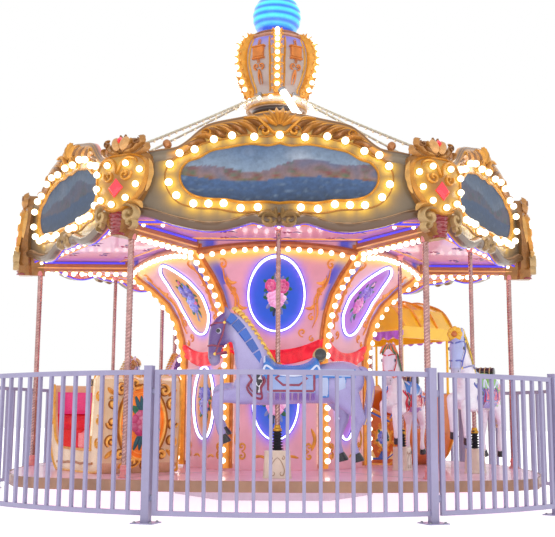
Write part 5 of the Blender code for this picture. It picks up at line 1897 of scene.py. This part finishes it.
class CarouselCarriages(bpy.types.Operator):
    """Rose carriage and canopy carriage with padded seats, mouldings and painted medallions"""
    bl_idname = "carousel.carriages"
    bl_label = "Carriages"

    def execute(self, context):
        orange = surface_of("orange lacquered moulding", linear("#E07C28"), 0.3, 0.0, 5.0, 0.15, 200.0, 0.15, 0.5)
        # The yellow canopy glows faintly in warm yellow: painted light
        yellow = surface_of("yellow lacquered moulding", linear("#FBCB1E"), 0.3, 0.0, 5.0, 0.15, 200.0, 0.12, 0.5,
                            glow=0.10, glow_colour=linear("#F2B81E"))
        for name, mat in (("canopy_chariot", orange), ("chariot_canopy", yellow)):
            for slot in bpy.data.objects[name].material_slots:
                slot.material = mat
        rose_place = spin(-57, 1.78)
        canopy_place = spin(127, 1.66)
        gold = blended(tint("gilt"), linear("#D8A050"), 0.4)

        # Rose carriage: foot and ends in one body, a closed inner wall, an outer wall with a wide doorway
        ends = [(-0.50, 0.27), (0.54, 0.27), (0.66, 0.36), (0.70, 0.72), (0.69, 1.05), (0.64, 1.12), (0.56, 1.12)]
        nose = [(-0.66, 1.05), (-0.73, 1.01), (-0.74, 0.80), (-0.70, 0.56), (-0.61, 0.37)]
        doorway = [(0.475, 1.08), (0.43, 0.60), (0.42, 0.48), (0.36, 0.46), (-0.32, 0.47), (-0.45, 0.50),
                   (-0.555, 0.58), (-0.61, 0.80), (-0.63, 1.03)]
        seat_well = [(0.51, 1.10), (0.44, 0.60), (0.02, 0.60), (0.02, 0.37), (-0.40, 0.37), (-0.50, 0.45),
                     (-0.60, 0.62), (-0.64, 0.82), (-0.645, 1.045)]
        rail = [(0.42, 1.05), (0.0, 1.0), (-0.42, 1.0), (-0.56, 1.03)]
        body = Shape()
        body.slot = 1

        def upright(u, v, h):
            return Vector((u * CAR, h, v))

        for walls, low, high in ((seat_well, -0.336, 0.336), (doorway, -0.370, -0.335), (rail, 0.335, 0.370)):
            body.paint = linear("#EBC79A")
            body.plate(upright, ends + walls + nose, low, high)
        body.slot = 0
        # Red lining of the well: lower half red, upper half magenta, a white welt between
        lining = Shape()
        for low, high, tone in ((0.37, 0.78, "#F00A2A"), (0.78, 0.985, "#F0288C")):
            lining.paint = linear(tone)
            lining.plate(upright, [(-0.63, high), (-0.60, max(low, 0.62)), (-0.40 if low < 0.5 else -0.62, low),
                                   (0.42, low), (0.47, high)], 0.324, 0.336)
            lining.skin([[Vector((x * CAR, y, z)) for x, z in
                          ((-0.628, high), (-0.622, high), (-0.588 if low > 0.5 else -0.575, max(low, 0.64)),
                           (-0.602 if low > 0.5 else -0.600, max(low, 0.64)))] for y in (-0.334, 0.334)])
        lining.paint = linear("#F00A2A")
        lining.skin([[Vector((x * CAR, y, z)) for x, z in ((-0.60, 0.64), (-0.50, 0.455), (-0.40, 0.374),
                                                           (0.015, 0.374), (0.015, 0.385), (-0.39, 0.388),
                                                           (-0.485, 0.465), (-0.585, 0.64))]
                     for y in (-0.334, 0.334)])
        lining.plate(upright, [(0.015, 0.46), (0.425, 0.46), (0.435, 0.61), (0.015, 0.61)], -0.343, -0.330)
        lining.skin([[Vector((x * CAR, y, z)) for x, z in ((0.005, 0.380), (0.025, 0.380), (0.025, 0.61), (0.005, 0.61))]
                     for y in (-0.334, 0.334)])
        lining.paint = linear("#F4E8E8")
        lining.tube([Vector((x * CAR, 0.322, 0.78)) for x in (-0.61, -0.3, 0, 0.3, 0.44)], 0.008, 8)
        piece("rose_lining", lining, (horse_lacquer(),), "turntable", place=rose_place)
        body.paint = linear("#F6E6C8")
        for s, side in ((-1, ends + doorway + nose), (1, ends + rail + nose)):
            def wall(u, v, h, s=s):
                return Vector((u, s * (0.370 + h), v))

            line = [(x * CAR * 0.985, 0.70 + (z - 0.70) * 0.975) for x, z in side]
            body.paint = gold
            body.relief(wall, smooth_path(line + line[:1], 150), 0.013, 0.016, -0.004)
            body.paint = linear("#F6E6C8")
            body.relief(wall, [(x * CAR, z - 0.012) for x, z in ends[-1:] + side[7:9]], 0.012, 0.012)
            body.paint = linear("#A86A3A")
            body.relief(wall, [(-0.40 + 0.09 * i, 0.345 + 0.01 * (i % 2)) for i in range(10)], 0.012, 0.010)
            for cx, cz, turn in ((0.50, 0.92, 1), (0.50, 0.72, -1), (0.50, 0.52, 1), (-0.55, 0.72, 1), (-0.545, 0.90, -1)):
                body.paint = gold
                body.relief(wall, spiral(cx, cz, 0.045, 90, 1.3, turn), taper(26, 0.012, 0.5), 0.014)

        def end(u, v, h):
            """Point on the end that faces backwards: u across, v up."""
            return Vector((along(((0.27, 0.54), (0.36, 0.66), (0.72, 0.70), (1.05, 0.69), (1.12, 0.64)), v) * CAR + h,
                           u, v))

        body.paint = linear("#F4822A")
        body.dome(end, 0, 0.70, 0.205, 0.300, 0.020, 48, 6)
        body.paint = linear("#F8B060")
        body.relief(end, [(0.172 * cos(a), 0.70 + 0.262 * sin(a)) for a in (2 * pi * i / 40 for i in range(42))],
                    0.006, 0.022, 0.004)
        for thick, ru, rv, tone in ((0.016, 0.215, 0.312, linear("#E8A850")), (0.008, 0.236, 0.334, linear("#A8662A"))):
            body.paint = tone
            body.relief(end, [(ru * cos(a), 0.70 + rv * sin(a)) for a in (2 * pi * i / 48 for i in range(50))],
                        thick, 0.030, 0.0)
        for s in (1, -1):
            for cu, cv, size, begin, way in ((0.075, 1.045, 0.062, 200, 1), (0.205, 0.985, 0.055, 120, -1),
                                             (0.285, 0.865, 0.052, 60, 1), (0.290, 0.700, 0.048, 0, -1),
                                             (0.285, 0.545, 0.052, -60, 1), (0.200, 0.425, 0.055, -120, -1),
                                             (0.075, 0.365, 0.062, 160, 1)):
                for thick, lift, tone in ((0.026, 0.0, linear("#9A5A24")), (0.015, 0.016, linear("#E8AC54"))):
                    body.paint = tone
                    body.relief(end, spiral(s * cu, cv, size, 90 + s * (begin - 90), 1.25, s * way, count=22),
                                taper(22, thick, 0.4), 0.022, lift)
            body.paint = linear("#D8913C")
            for path in ([(0.02, 1.09), (0.03, 1.12), (0.0, 1.14)], [(0.14, 1.04), (0.17, 1.08), (0.16, 1.11)],
                         [(0.25, 0.94), (0.30, 0.97), (0.33, 1.0)], [(0.25, 0.47), (0.30, 0.43), (0.33, 0.40)],
                         [(0.14, 0.37), (0.17, 0.34), (0.16, 0.31)]):
                body.leaf(end, smooth_path([(s * u, v) for u, v in path], 10), 0.022, 0.030, 0, 0.002)
        for s in (1, -1):
            body.paint = linear("#24505A")
            for bend in (-0.07, -0.02, 0.03, 0.08):
                body.leaf(end, smooth_path([(0, 0.70 + s * 0.07), (bend * 0.6, 0.70 + s * 0.14),
                                            (bend * 1.1, 0.70 + s * 0.235)], 12), 0.022, 0.010, 0, 0.020)
        rose(body, lambda u, v, h: end(u, v, h + 0.020), 0, 0.70, 0.112, linear("#B4085C"), 0.4)
        body.paint = linear("#F6E6C8")
        body.relief(end, [(-0.355 + 0.071 * i, 1.085) for i in range(11)], 0.016, 0.014)
        piece("rose_carriage", body, (painted_gilt(), horse_lacquer()), "turntable", place=rose_place, stands_for=("rose_chariot",))

        def cushion(name, low, top, place, puff, rows_across, lean=0.0):
            """Crowned pad with pulled-in seams between its sewn channels."""
            shape = Shape()
            shape.paint = tint("red")
            x0, y0, z0 = low
            x1, y1, z1 = top
            n, m = 28, 36
            rows = []
            for i in range(n + 1):
                s = i / n
                rim = (1 - abs(2 * s - 1) ** 5) ** 0.5
                row = []
                for j in range(m + 1):
                    q = j / m
                    edge = (1 - abs(2 * q - 1) ** 7) ** 0.5
                    channel = abs(sin(pi * rows_across * q)) ** 0.5
                    lift = (z1 - z0) * (0.35 + (0.45 + 0.20 * channel) * rim * edge) + puff * rim * edge * channel
                    y = y0 + (y1 - y0) * q
                    row.append(Vector((x0 + (x1 - x0) * s + lean * lift, y, z0 + lift)))
                row += [Vector((row[-1].x, y1, z0)), Vector((row[0].x, y0, z0))]
                rows.append(row)
            shape.skin(rows)
            obj = piece(name, shape, red_vinyl(), "turntable", place=place)

        w = 0.325
        cushion("rose_seat", (0.04 * CAR, -w, 0.592), (0.43 * CAR, w, 0.655), rose_place, 0.012, 5)
        back = rose_place @ Matrix.Translation((0.47 * CAR, 0, 0.60)) @ Matrix.Rotation(radians(-78), 4, "Y")
        cushion("rose_back", (0.02, -w, 0.0), (0.40, w, 0.055), back, 0.012, 5)
        cushion("canopy_seat", (0.12 * CAR, -w, 0.622), (0.55 * CAR, w, 0.680), canopy_place, 0.012, 4)

        outline = [(-0.40, 0.275), (0.44, 0.275), (0.615, 0.365), (0.715, 0.55), (0.755, 0.80), (0.73, 1.135),
                   (0.665, 1.135), (0.60, 1.09), (-0.30, 0.79), (-0.46, 0.77), (-0.585, 1.015), (-0.65, 1.015),
                   (-0.715, 0.90), (-0.695, 0.62), (-0.575, 0.385), (-0.40, 0.275)]
        shape = Shape()
        for s in (-1, 1):
            def panel(u, v, h, s=s):
                return Vector((u, s * (0.370 + h), v))

            shape.paint = gold
            shape.relief(panel, smooth_path([(x * CAR, z) for x, z in outline], 110), 0.015, 0.020, -0.004)
            shape.paint = linear("#3E66B8")
            shape.relief(panel, smooth_path([(x * CAR * 0.90, 0.66 + (z - 0.66) * 0.84) for x, z in outline], 110),
                         0.012, 0.008, 0.0)
            for i in range(7):
                u = -0.44 + 0.15 * i
                shape.paint = linear("#3E66B8") if i % 2 else linear("#F0D890")
                shape.plate(panel, [(u, 0.335), (u + 0.12, 0.335), (u + 0.06, 0.42)], -0.002, 0.006)
            for cu, cv, ru, rv in ((0.28, 0.60, 0.15, 0.15), (-0.30, 0.56, 0.13, 0.11)):
                shape.paint = linear("#F0D890")
                shape.dome(panel, cu * CAR, cv, ru * CAR, rv, 0.022, 36, 5)
                shape.paint = gold
                shape.relief(panel, [(cu * CAR + ru * CAR * cos(a), cv + rv * sin(a)) for a in
                                     (2 * pi * i / 40 for i in range(42))], 0.013, 0.024, 0.0)
                rose(shape, lambda u, v, h, panel=panel: panel(u, v, h + 0.018), cu * CAR, cv, rv * 0.62,
                     linear("#3A6BD8"), 0.4)
                shape.paint = gold
                for a in range(8):
                    t = radians(22.5 + 45 * a)
                    shape.relief(panel, spiral(cu * CAR + (ru * CAR + 0.040) * cos(t), cv + (rv + 0.036) * sin(t),
                                               0.034, 45 * a + 82.5, 1.1, 1 if a % 2 else -1, count=16),
                                 taper(16, 0.010, 0.5), 0.018)
        piece("canopy_trim", shape, painted_gilt(), "turntable", place=canopy_place)
        # Canopy: scalloped skirt, rib mouldings and cartouches
        shape = Shape()
        for s in (-1, 1):
            def side(u, v, h, s=s):
                return Vector((u, s * (0.392 + h), v))

            rows = []
            for i in range(61):
                u = -0.60 + 1.20 * i / 60
                deep = 0.055 + 0.045 * abs(sin(pi * i / 7.5))
                wave = 0.006 * sin(i * 1.3)
                rows.append([side(u, 1.70, 0.002), side(u, 1.695, 0.012 + wave), side(u, 1.66, 0.016 + wave),
                             side(u, 1.70 - deep, 0.018 + wave), side(u, 1.70 - deep, 0.006 + wave),
                             side(u, 1.66, 0.004)])
            shape.paint = linear("#B068D8")
            shape.skin(rows)
            shape.paint = linear("#F7C948")
            shape.relief(side, [(-0.60 + 1.2 * i / 20, 1.705) for i in range(21)], 0.012, 0.022)
            shape.paint = linear("#1F9E9A")
            shape.dome(side, 0, 1.86, 0.20, 0.085, 0.018, 30, 4)
            shape.paint = gold
            shape.relief(side, [(0.20 * cos(a), 1.86 + 0.085 * sin(a)) for a in (2 * pi * i / 30 for i in range(32))],
                         0.010, 0.022)
            rose(shape, lambda u, v, h, side=side: side(u, v, h + 0.014), 0, 1.86, 0.05, linear("#F3B03A"))
        ridge = smooth_path([(-0.70, 1.74), (-0.52, 1.95), (-0.2, 2.06), (0, 2.09), (0.2, 2.06), (0.52, 1.95),
                             (0.70, 1.74)], 30)
        for y in (-0.385, -0.13, 0.13, 0.385):
            shape.paint = linear("#E8A030") if abs(y) < 0.2 else gold
            shape.tube([Vector((x * CAR, y, z + 0.001)) for x, z in ridge], 0.013, 8)
        piece("canopy_dressing", shape, painted_gilt(), "turntable", place=canopy_place)
        return {"FINISHED"}


ORDER = (CarouselStage, CarouselPosts, CarouselFence, CarouselPlatform, CarouselBoards, CarouselShields,
         CarouselCrown, CarouselRoof, CarouselCentre, CarouselCeiling, CarouselHorses,
         CarouselCarriages)


class CarouselPanel(bpy.types.Panel):
    """Lists the carousel's pieces"""
    bl_idname = "VIEW3D_PT_carousel"
    bl_label = "Carousel"
    bl_space_type = "VIEW_3D"
    bl_region_type = "UI"
    bl_category = "Carousel"

    def draw(self, context):
        for step in ORDER:
            self.layout.operator(step.bl_idname)
        for group in (context.scene.carousel_sizes, context.scene.carousel_colours):
            for key in group.__annotations__:
                self.layout.prop(group, key)


CLASSES = (CarouselSizes, CarouselColours) + ORDER + (CarouselPanel,)


def register():
    for cls in CLASSES:
        bpy.utils.register_class(cls)
    bpy.types.Scene.carousel_sizes = bpy.props.PointerProperty(type=CarouselSizes)
    bpy.types.Scene.carousel_colours = bpy.props.PointerProperty(type=CarouselColours)


def unregister():
    del bpy.types.Scene.carousel_sizes
    del bpy.types.Scene.carousel_colours
    for cls in reversed(CLASSES):
        bpy.utils.unregister_class(cls)


def main():
    register()
    for step in ORDER:
        getattr(bpy.ops.carousel, step.bl_idname.split(".")[1])()


if __name__ == "__main__":
    main()
